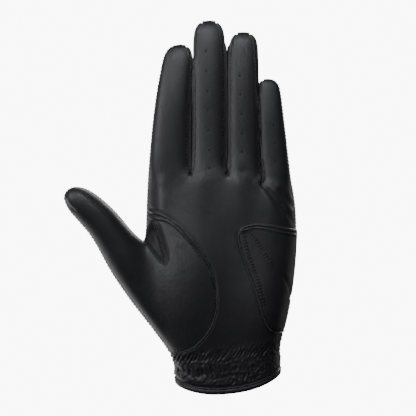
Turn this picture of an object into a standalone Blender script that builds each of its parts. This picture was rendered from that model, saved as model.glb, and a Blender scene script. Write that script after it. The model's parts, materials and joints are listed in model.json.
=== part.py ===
"""A left-hand golf glove in thin leather, standing open as it would on a hand form.

Frame: millimetres below, metres in the scene. +Z runs from the cuff to the fingertips, -Y is the
palm side, -X is the thumb side. The origin is the centre of the cuff opening, where the hand goes in.

The skin of the glove is one cage of quads, smoothed by a Subdivision Surface modifier. Every face of
the cage carries the name of the leather piece it belongs to, and each piece becomes a thin closed
shell. The layers sewn on top (patch, tab, pads) are offset from that skin.
"""

import math

import bmesh
import bpy
import numpy as np
from mathutils import Vector
from mathutils.bvhtree import BVHTree

MM = 0.001

# ---------------------------------------------------------------- driving dimensions, in millimetres
LEATHER = 0.8  # wall thickness of the skin
SEAM_GAP = 0.4  # between two pieces sewn edge to edge
HINGE_GAP = 0.6  # between the pieces on either side of a bending line
LAYER_GAP = 0.3  # between a layer and what it is sewn on
SMOOTHING = 1  # subdivision levels of the skin

# Palm rings: height, left x, right x, depth in front of y = 0, depth behind it.
PALM_RINGS = (
    (0.0, -32.4, 31.6, 20.5, 19.5),
    (4.5, -32.6, 31.5, 20.2, 19.2),
    (14.0, -33.8, 31.0, 19.5, 18.5),
    (22.0, -37.2, 31.4, 20.0, 18.0),
    (42.0, -44.5, 36.4, 21.0, 17.5),
    (64.0, -49.0, 40.0, 19.5, 16.5),
    (84.0, -51.2, 41.6, 17.0, 15.5),
    (97.0, -50.6, 41.4, 15.5, 14.5),
    (110.0, -50.2, 40.2, 14.0, 13.5),
    (121.0, -49.6, 38.6, 12.5, 12.5),
)
FRONT_POWER, BACK_POWER = 2.8, 2.4  # how square the palm's and the back's sections are
# Where the nine columns of the palm stand, as shares of its width: each finger's middle and the forks.
COLUMNS = (0.045, 0.155, 0.304, 0.429, 0.551, 0.671, 0.793, 0.895, 0.968)
# How far the palm stands out from that section: x, z, reach in x, reach in z, height.
PALM_SWELLS = ((-24.0, 44.0, 17.0, 26.0, 7.0), (26.0, 46.0, 12.0, 28.0, 3.5), (4.0, 66.0, 14.0, 24.0, -3.0))
# The cuff's edge: its rise from the thumb side to the far side, and its dip on the palm.
CUFF_RISE, CUFF_DIP = 6.0, 8.0
CUFF_FADE = (1.0, 0.85, 0.6, 0.3)  # how much of that the first four rings take

# Fingers: base height, tip height, x and width at the base, x and width near the tip, height of the
# lower and of the upper bending line.
FINGERS = {
    "index": (124.5, 203.6, -35.2, 24.4, -31.2, 18.2, 131.5, 154.0),
    "middle": (125.5, 218.2, -11.2, 19.6, -11.2, 18.9, 132.0, 160.0),
    "ring": (122.0, 211.2, 9.8, 18.9, 8.8, 17.0, 129.5, 156.0),
    "little": (117.5, 183.2, 29.3, 16.2, 25.6, 12.6, 125.0, 145.0),
}
FINGER_DEPTH = 0.93  # depth over width
# Rings of a fingertip: half widths below the tip, share of the width.
TIP_STEPS = ((0.42, 0.86), (0.06, 0.46))
AXIS_PROUD = 0.2  # how far a bending axis stands in front of the leather
FINGER_CORNER = 0.74  # how far the cage's corners stand out, as a share of its sides
FINGER_Y, FINGER_LEAN = -1.0, -5.0  # the fingers' middle plane at the base, and how far the tips lean
FORKS = ((-21.9, 125.4), (-0.7, 126.2), (20.3, 119.8))  # x and height of the three finger forks

# Thumb rings: the lower and the upper edge as (x, z), then y and half the depth.
THUMB_RINGS = (
    ((-66.5, 59.0), (-52.0, 87.6), -5.0, 14.0),
    ((-76.0, 77.0), (-57.0, 92.2), -8.0, 11.5),
    ((-81.6, 86.6), (-64.0, 100.6), -10.0, 10.6),
    ((-86.8, 93.0), (-70.6, 107.4), -11.5, 10.0),
    ((-94.8, 101.2), (-81.6, 116.0), -13.0, 9.2),
    ((-98.6, 107.0), (-89.2, 119.0), -14.0, 7.4),
    ((-99.8, 111.6), (-94.4, 118.4), -14.4, 4.4),
)
THUMB_TIP = (-98.9, -14.6, 116.0)
THUMB_FOOT, THUMB_TOP = 3, 6  # the palm rings between which the thumb leaves
THUMB_BASE_RING, THUMB_TIP_RING = 0, 2  # the thumb rings that are bending lines

# The thumb leather's outline on the palm and on the back, as (x, z) along a smooth curve.
THUMB_SEAM_PALM = (
    (-62.0, 112.0), (-47.5, 102.6), (-37.0, 99.0), (-24.0, 86.0), (-12.5, 70.0), (-7.0, 52.0),
    (-9.5, 38.0), (-17.0, 27.5), (-25.0, 20.8), (-33.6, 17.6), (-50.0, 14.0),
)
THUMB_SEAM_BACK = (
    (-62.0, 112.0), (-47.5, 102.6), (-41.5, 92.0), (-37.5, 74.0), (-33.0, 54.0), (-29.5, 36.0),
    (-30.0, 24.0), (-33.6, 17.6), (-50.0, 14.0),
)
FAR_LEFT = ((-140.0, 10.0), (-140.0, 130.0))  # closes both outlines well outside the thumb

# Opening in the back: its centre line, half its width at the cuff and at its round end, that end's height.
SLIT_X, SLIT_HALF, SLIT_END, SLIT_TOP = 5.4, 5.0, 2.6, 45.0
# Closure tab: its sewn edge, its free end, its lower and upper edge.
TAB_HINGE_X, TAB_END_X, TAB_LOW, TAB_HIGH = -13.0, 25.5, 13.0, 39.0
TAB_HINGE_Y = 19.4  # the tab's bending axis, at its outer face


# ---------------------------------------------------------------- small helpers
def between(a, b, share):
    return a + (b - a) * share


def smooth_line(points, steps=6):
    """Points along a Catmull-Rom curve through the given ones."""
    p = [np.array(q, float) for q in points]
    p = [2 * p[0] - p[1], *p, 2 * p[-1] - p[-2]]
    line = []
    for a, b, c, d in zip(p, p[1:], p[2:], p[3:]):
        for k in range(steps):
            t = k / steps
            start, turn = 2 * b + (c - a) * t, 2 * a - 5 * b + 4 * c - d
            line.append(0.5 * (start + turn * t**2 + (3 * b - a - 3 * c + d) * t**3))
    return [*line, p[-2]]


def outline_distance(outline, x, z):
    """Distance from (x, z) to a closed outline, negative inside it."""
    here = np.array((x, z))
    start = np.array(outline)
    step = np.roll(start, -1, axis=0) - start
    along = np.clip(((here - start) * step).sum(1) / np.maximum((step**2).sum(1), 1e-9), 0, 1)
    nearest = np.hypot(*(start + step * along[:, None] - here).T).min()
    over = (start[:, 1] > z) != (np.roll(start[:, 1], -1) > z)
    crossing = start[over, 0] + (z - start[over, 1]) / step[over, 1] * step[over, 0]
    return -nearest if (crossing > x).sum() % 2 else nearest


# ---------------------------------------------------------------- the cage of the skin
class Cage:
    """Points, and faces that each carry the name of a piece."""

    def __init__(self):
        self.points, self.faces, self.pieces = [], [], []

    def point(self, x, y, z):
        self.points.append((x, y, z))
        return len(self.points) - 1

    def face(self, corners, piece):
        self.faces.append(tuple(corners))
        self.pieces.append(piece)

    def band(self, low, high, pieces):
        """The faces between two rings. A piece named None leaves a hole."""
        for i, piece in enumerate(pieces):
            j = (i + 1) % len(low)
            if piece:
                self.face((low[i], low[j], high[j], high[i]), piece)


def palm_ring(cage, number):
    """Twenty points round the palm: nine in front, the far side, nine behind, the thumb side."""
    height, left, right, front, back = PALM_RINGS[number]
    fade = CUFF_FADE[number] if number < len(CUFF_FADE) else 0.0
    middle = (left + right) / 2

    def lift(share, dip):
        return height + fade * (CUFF_RISE * share - dip * (1 - abs(2 * share - 1) ** 2.5))

    def bulge(x, z):
        return sum(
            h * math.exp(-(((x - cx) / rx) ** 2) - ((z - cz) / rz) ** 2) for cx, cz, rx, rz, h in PALM_SWELLS
        )

    def depth(share, power):
        return (1 - abs(2 * share - 1) ** power) ** (1 / power)

    shares = COLUMNS
    in_front, behind = [], []
    for share in shares:
        x, z = between(left, right, share), lift(share, CUFF_DIP)
        in_front.append(cage.point(x, -front * depth(share, FRONT_POWER) - bulge(x, z), z))
        behind.append(cage.point(x, back * depth(share, BACK_POWER), lift(share, 0.0)))
    far_side = cage.point(right, 0.0, lift(1.0, 0.0))
    thumb_side = cage.point(left, 0.0, lift(0.0, 0.0))
    return [*in_front, far_side, *reversed(behind), thumb_side]


def finger_ring(cage, x, y, z, half_width, half_depth):
    """Eight points: front left, middle and right, the right side, the same three behind, the left side."""
    reach = (4 + 2 * FINGER_CORNER) / 6  # a closed ring of the cage shrinks by this when smoothed
    a, b = half_width / reach, half_depth / reach
    k = FINGER_CORNER
    places = ((-k, -k), (0, -1), (k, -k), (1, 0), (k, k), (0, 1), (-k, k), (-1, 0))
    return [cage.point(x + a * u, y + b * v, z) for u, v in places]


def straight_top(name):
    """The height at which a finger starts to round off to its tip."""
    return FINGERS[name][1] - FINGERS[name][5] * 0.525


def finger_place(name, z):
    """A finger's middle and half its width at this height."""
    base, tip, base_x, base_width, tip_x, tip_width, _, _ = FINGERS[name]
    share = (z - base) / (tip - base)
    x, y = between(base_x, tip_x, share), FINGER_Y + FINGER_LEAN * share**2
    taper = min((z - base) / (straight_top(name) - base), 1) ** 1.3
    return x, y, between(base_width, tip_width, taper) / 2


def finger_rings(cage, name):
    """The rings above the finger's base, with both bending lines among them."""
    _, tip, _, _, _, tip_width, low_bend, high_bend = FINGERS[name]
    straight = straight_top(name)
    rings = []
    for z in (low_bend, high_bend, between(high_bend, straight, 0.5), straight):
        x, y, half_width = finger_place(name, z)
        rings.append(finger_ring(cage, x, y, z, half_width, half_width * FINGER_DEPTH))
    for below_tip, share in TIP_STEPS:
        z = tip - tip_width / 2 * below_tip
        x, y, half_width = finger_place(name, z)
        rings.append(finger_ring(cage, x, y, z, half_width * share, half_width * share * FINGER_DEPTH))
    return rings


def bend_point(name, z):
    """A point on a finger's bending axis, which lies just in front of its palm side."""
    x, y, half_width = finger_place(name, z)
    return x, y - half_width * FINGER_DEPTH - AXIS_PROUD, z


def finger_pieces(name, part, left_piece, right_piece):
    """The piece of each of the eight faces between two rings of a finger."""
    palm, back = f"{name}_palm_{part}", f"{name}_back_{part}"
    right = (right_piece, right_piece) if right_piece else (palm, back)
    left = (left_piece, left_piece) if left_piece else (back, palm)
    return [palm, palm, *right, back, back, *left]


def add_finger(cage, name, base_ring, number):
    has_left, has_right = name != "index", name != "little"
    rings = [base_ring, *finger_rings(cage, name)]
    for k, (low, high) in enumerate(zip(rings, rings[1:])):
        if k == 0:
            left = f"fork_{number - 1}" if has_left else None
            right = f"fork_{number}" if has_right else None
            pieces = ["palm_panel", "palm_panel", right or "palm_panel", right or "back_panel"]
            pieces += ["back_panel", "back_panel", left or "back_panel", left or "palm_panel"]
        else:
            part = "lower" if k == 1 else "upper"
            left = f"{name}_thumb_side_{part}" if has_left else None
            right = f"{name}_far_side_{part}" if has_right else None
            pieces = finger_pieces(name, part, left, right)
        cage.band(low, high, pieces)
    palm, back = f"{name}_palm_upper", f"{name}_back_upper"
    tip = FINGERS[name][1]
    x, y, _ = finger_place(name, tip)
    close_tip(cage, rings[-1], (x, y, tip + 0.5), [palm, palm, back, back], 1)


def close_tip(cage, ring, centre, pieces, first):
    """Quads from every other point of the last ring to a point in the middle of the tip."""
    middle = cage.point(*centre)
    n = len(ring)
    for k, piece in enumerate(pieces):
        i = (first + 2 * (k - 1)) % n
        cage.face((middle, ring[i], ring[(i + 1) % n], ring[(i + 2) % n]), piece)


def thumb_ring(cage, lower, upper, y, half_depth):
    """Ten points: the lower edge, four in front, the upper edge, four behind."""
    reach = (4 + 2 * math.cos(math.radians(36))) / 6
    lower, upper = np.array(lower), np.array(upper)
    middle, half = (lower + upper) / 2, (upper - lower) / 2 / reach
    ring = []
    for k in range(10):
        angle = math.radians(180 - 36 * k)
        x, z = middle + half * math.cos(angle)
        ring.append(cage.point(x, y - half_depth / reach * math.sin(angle), z))
    return ring


def add_thumb(cage, rings):
    """rings are the palm's. The thumb leaves through the hole in their thumb side."""
    foot, top = THUMB_FOOT, THUMB_TOP
    side, front, back = 19, 0, 18
    hole = [rings[foot][side]]
    hole += [rings[k][front] for k in range(foot, top + 1)]
    hole += [rings[top][side]]
    hole += [rings[k][back] for k in range(top, foot - 1, -1)]
    tubes = [hole] + [thumb_ring(cage, *section) for section in THUMB_RINGS]
    for k, (low, high) in enumerate(zip(tubes, tubes[1:])):
        part = "base" if k <= THUMB_BASE_RING else "lower" if k <= THUMB_TIP_RING else "upper"
        cage.band(low, high, [f"thumb_palm_{part}"] * 5 + [f"thumb_back_{part}"] * 5)
    close_tip(cage, tubes[-1], THUMB_TIP, ["thumb_palm_upper"] * 3 + ["thumb_back_upper"] * 2, 2)


def glove_cage():
    cage = Cage()
    rings = [palm_ring(cage, k) for k in range(len(PALM_RINGS))]
    palm_side = ["palm_panel"] * 9 + ["back_panel"] * 10 + ["palm_panel"]
    for k, (low, high) in enumerate(zip(rings, rings[1:])):
        pieces = list(palm_side) if k else ["cuff_binding"] * 20
        if THUMB_FOOT <= k < THUMB_TOP:
            pieces[18] = pieces[19] = None
        cage.band(low, high, pieces)
    top = rings[-1]
    front, back = top[:9], list(reversed(top[10:19]))
    drop = {0: 0.0, 1: 2.0, 2: 3.0, 3: 2.5, 4: 3.0, 5: 1.0, 6: -2.0, 7: -3.5, 8: -3.5}
    for column, rise in drop.items():
        for ids in (front, back):
            x, y, z = cage.points[ids[column]]
            cage.points[ids[column]] = (x, y, z + rise)
    far, near = top[9], top[19]
    cage.points[far] = (*cage.points[far][:2], cage.points[far][2] - 3.5)
    webs = [near, *[cage.point(x, FINGER_Y, z) for x, z in FORKS], far]
    for number, name in enumerate(FINGERS):
        i = 2 * number
        base_ring = [*front[i : i + 3], webs[number + 1], back[i + 2], back[i + 1], back[i], webs[number]]
        add_finger(cage, name, base_ring, number)
    add_thumb(cage, rings)
    return cage


# ---------------------------------------------------------------- the smoothed skin, cut along its seams
def smoothed_skin(cage, names):
    """The skin as a bmesh in millimetres, with each face's material index naming its piece."""
    mesh = bpy.data.meshes.new("skin")
    mesh.from_pydata(cage.points, [], cage.faces)
    for polygon, piece in zip(mesh.polygons, cage.pieces):
        polygon.material_index = names.index(piece)
    obj = bpy.data.objects.new("skin", mesh)
    bpy.context.scene.collection.objects.link(obj)
    modifier = obj.modifiers.new("smoothing", "SUBSURF")
    modifier.levels = modifier.render_levels = SMOOTHING
    graph = bpy.context.evaluated_depsgraph_get()
    skin = bmesh.new()
    skin.from_mesh(obj.evaluated_get(graph).to_mesh())
    bpy.data.objects.remove(obj)
    return skin


def cut_along(skin, faces, value, near=0.28):
    """Splits these faces where value(x, y, z) is zero, and returns the value at every vertex.

    A vertex within this share of an edge from the line is moved onto it."""
    level = {v: value(*v.co) for f in faces for v in f.verts}

    def crossed(face):
        return any(level[v] > 0 for v in face.verts) and any(level[v] < 0 for v in face.verts)

    mixed = [f for f in faces if crossed(f)]
    mixed = bmesh.ops.triangulate(skin, faces=mixed)["faces"] + [f for f in mixed if f.is_valid]
    mixed = set(mixed)
    edges = {e for f in mixed for e in f.edges}
    for edge in edges:
        a, b = edge.verts
        if level[a] * level[b] >= 0:
            continue
        share = level[a] / (level[a] - level[b])
        if min(share, 1 - share) < near:
            start, end, share = (a, b, share) if share < 0.5 else (b, a, 1 - share)
            start.co = start.co.lerp(end.co, share)
            level[start] = 0.0
    for edge in edges:
        a, b = edge.verts
        if level[a] * level[b] < 0:
            share = level[a] / (level[a] - level[b])
            _, middle = bmesh.utils.edge_split(edge, a, share)
            level[middle] = 0.0
    for face in mixed:
        on_line = [v for v in face.verts if level[v] == 0.0]
        if len(on_line) == 2 and crossed(face):
            bmesh.utils.face_split(face, *on_line)
    return level


def inside(face, level, value):
    """Whether a face that cut_along has been over lies where the value is negative."""
    total = sum(level.get(v, 0.0) for v in face.verts)
    return total < 0 if total else value(*face.calc_center_median()) < 0


def bend_planes():
    """A point and a normal for each bending line, by the piece name's first word and last word."""
    planes = {}
    for name, values in FINGERS.items():
        planes[name, "lower"] = (Vector((0, 0, values[6])), Vector((0, 0, 1)))
        planes[name, "upper"] = (Vector((0, 0, values[7])), Vector((0, 0, 1)))
    for part, number in (("lower", THUMB_BASE_RING), ("upper", THUMB_TIP_RING)):
        (ax, az), (bx, bz), _, _ = THUMB_RINGS[number]
        planes["thumb", part] = (Vector((ax, 0, az)), Vector((az - bz, 0, bx - ax)).normalized())
    return planes


def moves_with(piece, finger, part):
    """Whether this piece is beyond the finger's lower or upper bending line."""
    if not piece.startswith(finger + "_"):
        return False
    return piece.endswith("_upper") or (part == "lower" and piece.endswith("_lower"))


def flatten_bends(skin, names):
    """Puts the line between each pair of moving pieces into one plane, to make a straight hinge."""
    for (finger, part), (point, normal) in bend_planes().items():
        for vert in skin.verts:
            beyond = {moves_with(names[f.material_index], finger, part) for f in vert.link_faces}
            if len(beyond) == 2:
                vert.co -= normal * normal.dot(vert.co - point)


def pull_at(edge):
    """How far a piece stays back from this edge of the skin: more along a bending line."""
    for point, normal in bend_planes().values():
        if all(abs(normal.dot(v.co - point)) < 0.01 for v in edge.verts):
            return HINGE_GAP / 2
    return SEAM_GAP / 2


def thumb_level(x, y, z):
    """Negative inside the thumb leather's outline: one outline in front, another behind."""
    front = outline_distance(THUMB_FRONT, x, z)
    back = outline_distance(THUMB_BEHIND, x, z)
    share = min(max(0.5 + y / 6, 0), 1)
    return between(front, back, share)


def slit_level(x, y, z):
    """Negative inside the opening in the back: a slot that narrows to a round end."""
    if y < 0:
        return 60.0
    if z > SLIT_TOP:
        return math.hypot(x - SLIT_X, z - SLIT_TOP) - SLIT_END
    return abs(x - SLIT_X) - between(SLIT_HALF, SLIT_END, z / SLIT_TOP)


THUMB_FRONT = [*smooth_line(THUMB_SEAM_PALM), *FAR_LEFT]
THUMB_BEHIND = [*smooth_line(THUMB_SEAM_BACK), *FAR_LEFT]


# ---------------------------------------------------------------- bending axes
def thumb_bend(number):
    """A point on the axis of a thumb bend, which runs from the ring's lower edge to its upper edge."""
    (ax, az), (bx, bz), y, half_depth = THUMB_RINGS[number]
    return (ax + bx) / 2, y - half_depth - AXIS_PROUD, (az + bz) / 2


def bend_of(name):
    """Where the bending axis of this piece passes, or the origin if the piece doesn't move."""
    if name in ("tab_flap", "hook_pad"):
        return TAB_HINGE_X, TAB_HINGE_Y, (TAB_LOW + TAB_HIGH) / 2
    first = name.split("_")[0]
    if first in FINGERS:
        return bend_point(first, FINGERS[first][6 if name.endswith("lower") else 7])
    if first == "thumb" and name.endswith(("_lower", "_upper")):
        return thumb_bend(THUMB_BASE_RING if name.endswith("lower") else THUMB_TIP_RING)
    return 0.0, 0.0, 0.0


# ---------------------------------------------------------------- thin closed shells
def pulled_in(patch, pull):
    """Where each border vertex goes so that the patch shrinks by pull(edge) along its border."""
    moves = {}
    for vert in patch.verts:
        rim = [e for e in vert.link_edges if e.is_boundary]
        if not rim:
            continue
        rows, wanted = [], []
        for edge in rim:
            face = edge.link_faces[0]
            along = (edge.verts[1].co - edge.verts[0].co).normalized()
            inward = face.normal.cross(along).normalized()
            middle = (edge.verts[0].co + edge.verts[1].co) / 2
            if inward.dot(face.calc_center_median() - middle) < 0:
                inward = -inward
            rows.append(inward)
            wanted.append(pull(edge))
        moves[vert] = Vector(np.linalg.lstsq(np.array(rows), np.array(wanted), rcond=0.3)[0])
    return moves


def shell(name, patch, low, high, pull, look):
    """A closed shell over the patch, between two heights above it. low and high take a point.

    The object's origin is on its bending axis if it moves, and at the world's origin if it doesn't."""
    origin = Vector(bend_of(name))
    moves = pulled_in(patch, pull)
    patch.verts.ensure_lookup_table()
    patch.verts.index_update()
    n = len(patch.verts)
    outer, inner = [], []
    for vert in patch.verts:
        at = vert.co + moves.get(vert, Vector())
        outer.append(at + vert.normal * high(*vert.co))
        inner.append(at + vert.normal * low(*vert.co))
    faces = []
    for face in patch.faces:
        ids = [v.index for v in face.verts]
        faces.append(ids)
        faces.append([i + n for i in reversed(ids)])
    for edge in patch.edges:
        if edge.is_boundary:
            loop = edge.link_loops[0]
            a, b = loop.vert.index, loop.link_loop_next.vert.index
            faces.append([b, a, a + n, b + n])
    mesh = bpy.data.meshes.new(name)
    mesh.from_pydata([tuple((p - origin) * MM) for p in outer + inner], [], faces)
    mesh.shade_smooth()
    mesh.set_sharp_from_angle(angle=math.radians(40))
    obj = bpy.data.objects.new(name, mesh)
    obj.location = origin * MM
    bpy.context.scene.collection.objects.link(obj)
    colour, roughness = look
    material = bpy.data.materials.new(name)
    material.use_nodes = True
    shader = material.node_tree.nodes["Principled BSDF"]
    shader.inputs["Base Color"].default_value = (*colour, 1)
    shader.inputs["Roughness"].default_value = roughness
    mesh.materials.append(material)
    return obj


def only(skin, keep):
    """A copy of the skin's faces that keep(face) picks, with the whole skin's vertex normals."""
    chosen = [f for f in skin.faces if keep(f)]
    patch = bmesh.new()
    made = {}
    for face in chosen:
        for vert in face.verts:
            if vert not in made:
                made[vert] = patch.verts.new(vert.co)
        patch.faces.new([made[v] for v in face.verts]).material_index = face.material_index
    patch.normal_update()
    for old, new in made.items():
        new.normal = old.normal
    return patch


def layer(name, skin, values, low, high, look, fine=False):
    """A layer over the part of the skin where each value(x, y, z) is negative.

    fine halves the faces first, for an outline with tight corners."""
    copy = skin.copy()
    if fine:
        near = [f for f in copy.faces if all(value(*f.calc_center_median()) < 6 for value in values)]
        edges = list({e for f in near for e in f.edges})
        bmesh.ops.subdivide_edges(copy, edges=edges, cuts=1, use_grid_fill=True)
    for face in copy.faces:
        face.material_index = 0
    for value in values:
        beside = [f for f in copy.faces if abs(value(*f.calc_center_median())) < 12]
        level = cut_along(copy, beside, value, 0.03)
        for face in copy.faces:
            if not inside(face, level, value):
                face.material_index = 1
    copy.normal_update()
    patch = only(copy, lambda f: f.material_index == 0)
    return shell(name, patch, low, high, lambda edge: 0.0, look)


def flat(height):
    return lambda x, y, z: height


# ---------------------------------------------------------------- looks
BLACK_LEATHER = ((0.017, 0.018, 0.021), 0.48)
ELASTIC = ((0.030, 0.030, 0.032), 0.85)
HOOK = ((0.026, 0.026, 0.028), 0.6)
LOOP = ((0.020, 0.020, 0.022), 0.95)
BINDING = ((0.014, 0.014, 0.016), 0.6)


# ---------------------------------------------------------------- the layers' outlines
STRIP_OUTER = ((-47.2, 103.8), (-35.0, 100.6), (-25.2, 91.4), (-17.8, 81.4), (-10.6, 70.6), (-9.4, 67.0))
STRIP_INNER = ((-12.2, 66.8), (-19.8, 77.0), (-27.4, 87.6), (-35.0, 95.2), (-43.6, 97.0))
GUSSET = (
    (-45.6, 95.6), (-40.4, 94.4), (-37.2, 86.4), (-35.4, 76.0), (-37.6, 70.4), (-42.0, 73.6),
    (-46.0, 79.6), (-49.0, 87.0),
)
HEEL = (
    (10.4, 94.8), (22.2, 94.5), (31.8, 93.0), (40.8, 91.8), (60.0, 90.0), (60.0, 30.0), (32.4, 30.4),
    (25.8, 30.8), (22.2, 34.8), (19.8, 42.0), (16.8, 53.4), (12.6, 64.2), (7.8, 78.6), (5.6, 89.7),
)
HEEL_BEHIND = 3.0  # how far round the hand's edge the heel patch reaches
STRIP_OUTSIDE = [*smooth_line(STRIP_OUTER), *FAR_LEFT]
STRIP_INSIDE = [*smooth_line(STRIP_INNER[::-1]), *FAR_LEFT]
GUSSET_LINE = smooth_line((*GUSSET, GUSSET[0]))[:-1]


def within(outline):
    return lambda x, y, z: outline_distance(outline, x, z)


def outside(outline, margin=0.0):
    return lambda x, y, z: margin - outline_distance(outline, x, z)


def in_front(depth):
    return lambda x, y, z: y + depth


def elastic_row(at_left, at_right, half):
    """A band of this half width along the wrist, on the palm side."""
    def height(x, z):
        share = (x + 33) / 65
        return z - between(at_left, at_right, share) + 4 * share * (1 - share)
    return [lambda x, y, z: height(x, z) - half, lambda x, y, z: -height(x, z) - half, in_front(5.0)]


def box_level(left, right, low, high, corner):
    """A rounded rectangle on the back."""
    def value(x, y, z):
        if y < 0:
            return 60.0
        u = abs(x - (left + right) / 2) - (right - left) / 2 + corner
        v = abs(z - (low + high) / 2) - (high - low) / 2 + corner
        return math.hypot(max(u, 0), max(v, 0)) + min(max(u, v), 0) - corner
    return value


def tab_rise(x):
    """How far the tab stands off the back: it climbs from its seam onto the pads."""
    share = min(max((x - TAB_HINGE_X) / 8, 0), 1)
    return LAYER_GAP + 2.0 * share * share * (3 - 2 * share)


# ---------------------------------------------------------------- build
def clear_scene():
    for obj in list(bpy.data.objects):
        bpy.data.objects.remove(obj)


def build():
    clear_scene()
    cage = glove_cage()
    names = sorted(set(cage.pieces))
    skin = smoothed_skin(cage, names)
    flatten_bends(skin, names)
    skin.normal_update()
    add_layers(skin)

    palm, back = names.index("palm_panel"), names.index("back_panel")
    level = cut_along(skin, [f for f in skin.faces if f.material_index in (palm, back)], thumb_level)
    for face in skin.faces:
        if face.material_index == palm and inside(face, level, thumb_level):
            face.material_index = names.index("thumb_palm_base")
        elif face.material_index == back and inside(face, level, thumb_level):
            face.material_index = names.index("thumb_back_base")
    centres = {f: f.calc_center_median() for f in skin.faces}
    near_slit = [f for f, centre in centres.items() if centre.z < SLIT_TOP + 12 and centre.y > 5]
    level = cut_along(skin, near_slit, slit_level)
    bmesh.ops.delete(skin, geom=[f for f in skin.faces if inside(f, level, slit_level)], context="FACES")
    skin.normal_update()
    for number, name in enumerate(names):
        patch = only(skin, lambda f: f.material_index == number)
        heights = (-0.9, 0.3) if name == "cuff_binding" else (-LEATHER, 0.0)
        look = BINDING if name == "cuff_binding" else BLACK_LEATHER
        shell(name, patch, flat(heights[0]), flat(heights[1]), pull_at, look)


def add_layers(skin):
    thin = (flat(LAYER_GAP), flat(LAYER_GAP + 0.7))
    strip = [within(STRIP_OUTSIDE), outside(STRIP_INSIDE), in_front(4.0)]
    strip += [lambda x, y, z: -50.0 - x, lambda x, y, z: 68.0 - z]
    layer("thumb_seam_strip", skin, strip, *thin, BLACK_LEATHER, True)
    gusset = [within(GUSSET_LINE), within([*smooth_line(STRIP_INNER[::-1]), *FAR_LEFT]), in_front(3.0)]
    layer("thumb_gusset", skin, gusset, *thin, BLACK_LEATHER, True)
    layer("heel_patch", skin, [within(HEEL), in_front(-HEEL_BEHIND)], *thin, BLACK_LEATHER)
    under = (flat(-LEATHER - LAYER_GAP - 0.8), flat(-LEATHER - LAYER_GAP))
    layer("wrist_elastic_upper", skin, elastic_row(15.5, 21.0, 2.6), *under, ELASTIC)
    layer("wrist_elastic_lower", skin, elastic_row(7.6, 11.6, 2.2), *under, ELASTIC)
    binding = [
        lambda x, y, z: slit_level(x, y, z) - 2.8,
        lambda x, y, z: 0.6 - slit_level(x, y, z),
        lambda x, y, z: 8.0 - z,
        lambda x, y, z: 5.0 - y,
    ]
    layer("slit_binding", skin, binding, flat(LAYER_GAP), flat(LAYER_GAP + 0.6), BINDING, True)
    pad = [box_level(13.8, 27.0, 15.0, 37.0, 3.0)]
    layer("loop_pad", skin, pad, flat(LAYER_GAP), flat(LAYER_GAP + 0.7), LOOP)
    layer("hook_pad", skin, [box_level(14.4, 23.8, 16.5, 35.5, 4.0)], flat(1.3), flat(2.0), HOOK)
    leather = (lambda x, y, z: tab_rise(x), lambda x, y, z: tab_rise(x) + 0.9)
    edge = TAB_HINGE_X + HINGE_GAP / 2
    flap = [box_level(TAB_HINGE_X - 30, TAB_END_X, TAB_LOW, TAB_HIGH, 9.0), lambda x, y, z: edge - x]
    layer("tab_flap", skin, flap, *leather, BLACK_LEATHER)
    edge_base = TAB_HINGE_X - HINGE_GAP / 2
    base = [box_level(TAB_HINGE_X - 6.5, TAB_END_X, TAB_LOW, TAB_HIGH, 1.0), lambda x, y, z: x - edge_base]
    layer("tab_base", skin, base, *leather, BLACK_LEATHER)


build()
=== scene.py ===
"""A black leather golf glove for the left hand, palm towards the camera.

The shape is one smooth skin over a cage of quads. The cage's faces name the leather pieces, and the
fingers follow the joints of the CAD model. Lengths are in millimetres until a mesh is made. The palm
faces -y, the fingertips point to +z, and lines of the x-z plane are drawn as the palm is seen.
"""

import json
import math
import random

import bmesh
import bpy
import numpy as np
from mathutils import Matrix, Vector, noise
from mathutils.bvhtree import BVHTree
from mathutils.kdtree import KDTree


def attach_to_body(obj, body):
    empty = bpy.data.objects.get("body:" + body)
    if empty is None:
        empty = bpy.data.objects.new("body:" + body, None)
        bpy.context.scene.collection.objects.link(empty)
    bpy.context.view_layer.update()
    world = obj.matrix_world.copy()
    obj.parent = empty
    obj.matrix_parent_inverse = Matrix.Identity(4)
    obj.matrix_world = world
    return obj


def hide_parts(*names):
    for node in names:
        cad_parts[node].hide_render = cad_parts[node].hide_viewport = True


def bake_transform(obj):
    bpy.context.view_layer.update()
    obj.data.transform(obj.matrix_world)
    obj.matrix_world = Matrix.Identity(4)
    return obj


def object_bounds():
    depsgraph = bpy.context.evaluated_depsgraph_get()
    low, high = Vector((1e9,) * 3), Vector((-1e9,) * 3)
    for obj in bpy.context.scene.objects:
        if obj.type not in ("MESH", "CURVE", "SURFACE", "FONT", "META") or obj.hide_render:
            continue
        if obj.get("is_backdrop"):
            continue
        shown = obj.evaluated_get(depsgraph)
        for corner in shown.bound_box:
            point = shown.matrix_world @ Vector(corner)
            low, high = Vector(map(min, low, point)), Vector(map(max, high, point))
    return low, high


MM = 0.001
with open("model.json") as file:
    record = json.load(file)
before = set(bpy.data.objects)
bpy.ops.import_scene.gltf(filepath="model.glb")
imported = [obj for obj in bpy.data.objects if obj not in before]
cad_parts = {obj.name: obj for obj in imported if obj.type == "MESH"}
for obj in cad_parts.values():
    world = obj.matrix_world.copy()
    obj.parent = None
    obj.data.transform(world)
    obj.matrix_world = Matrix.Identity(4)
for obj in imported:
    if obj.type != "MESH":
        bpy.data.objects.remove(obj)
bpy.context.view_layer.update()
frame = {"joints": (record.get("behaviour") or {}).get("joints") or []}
joints = {joint["name"]: joint for joint in frame["joints"]}

# ---- dimensions, in millimetres
LEATHER = 0.8
DETAIL = 4  # subdivision levels of the skin

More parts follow.
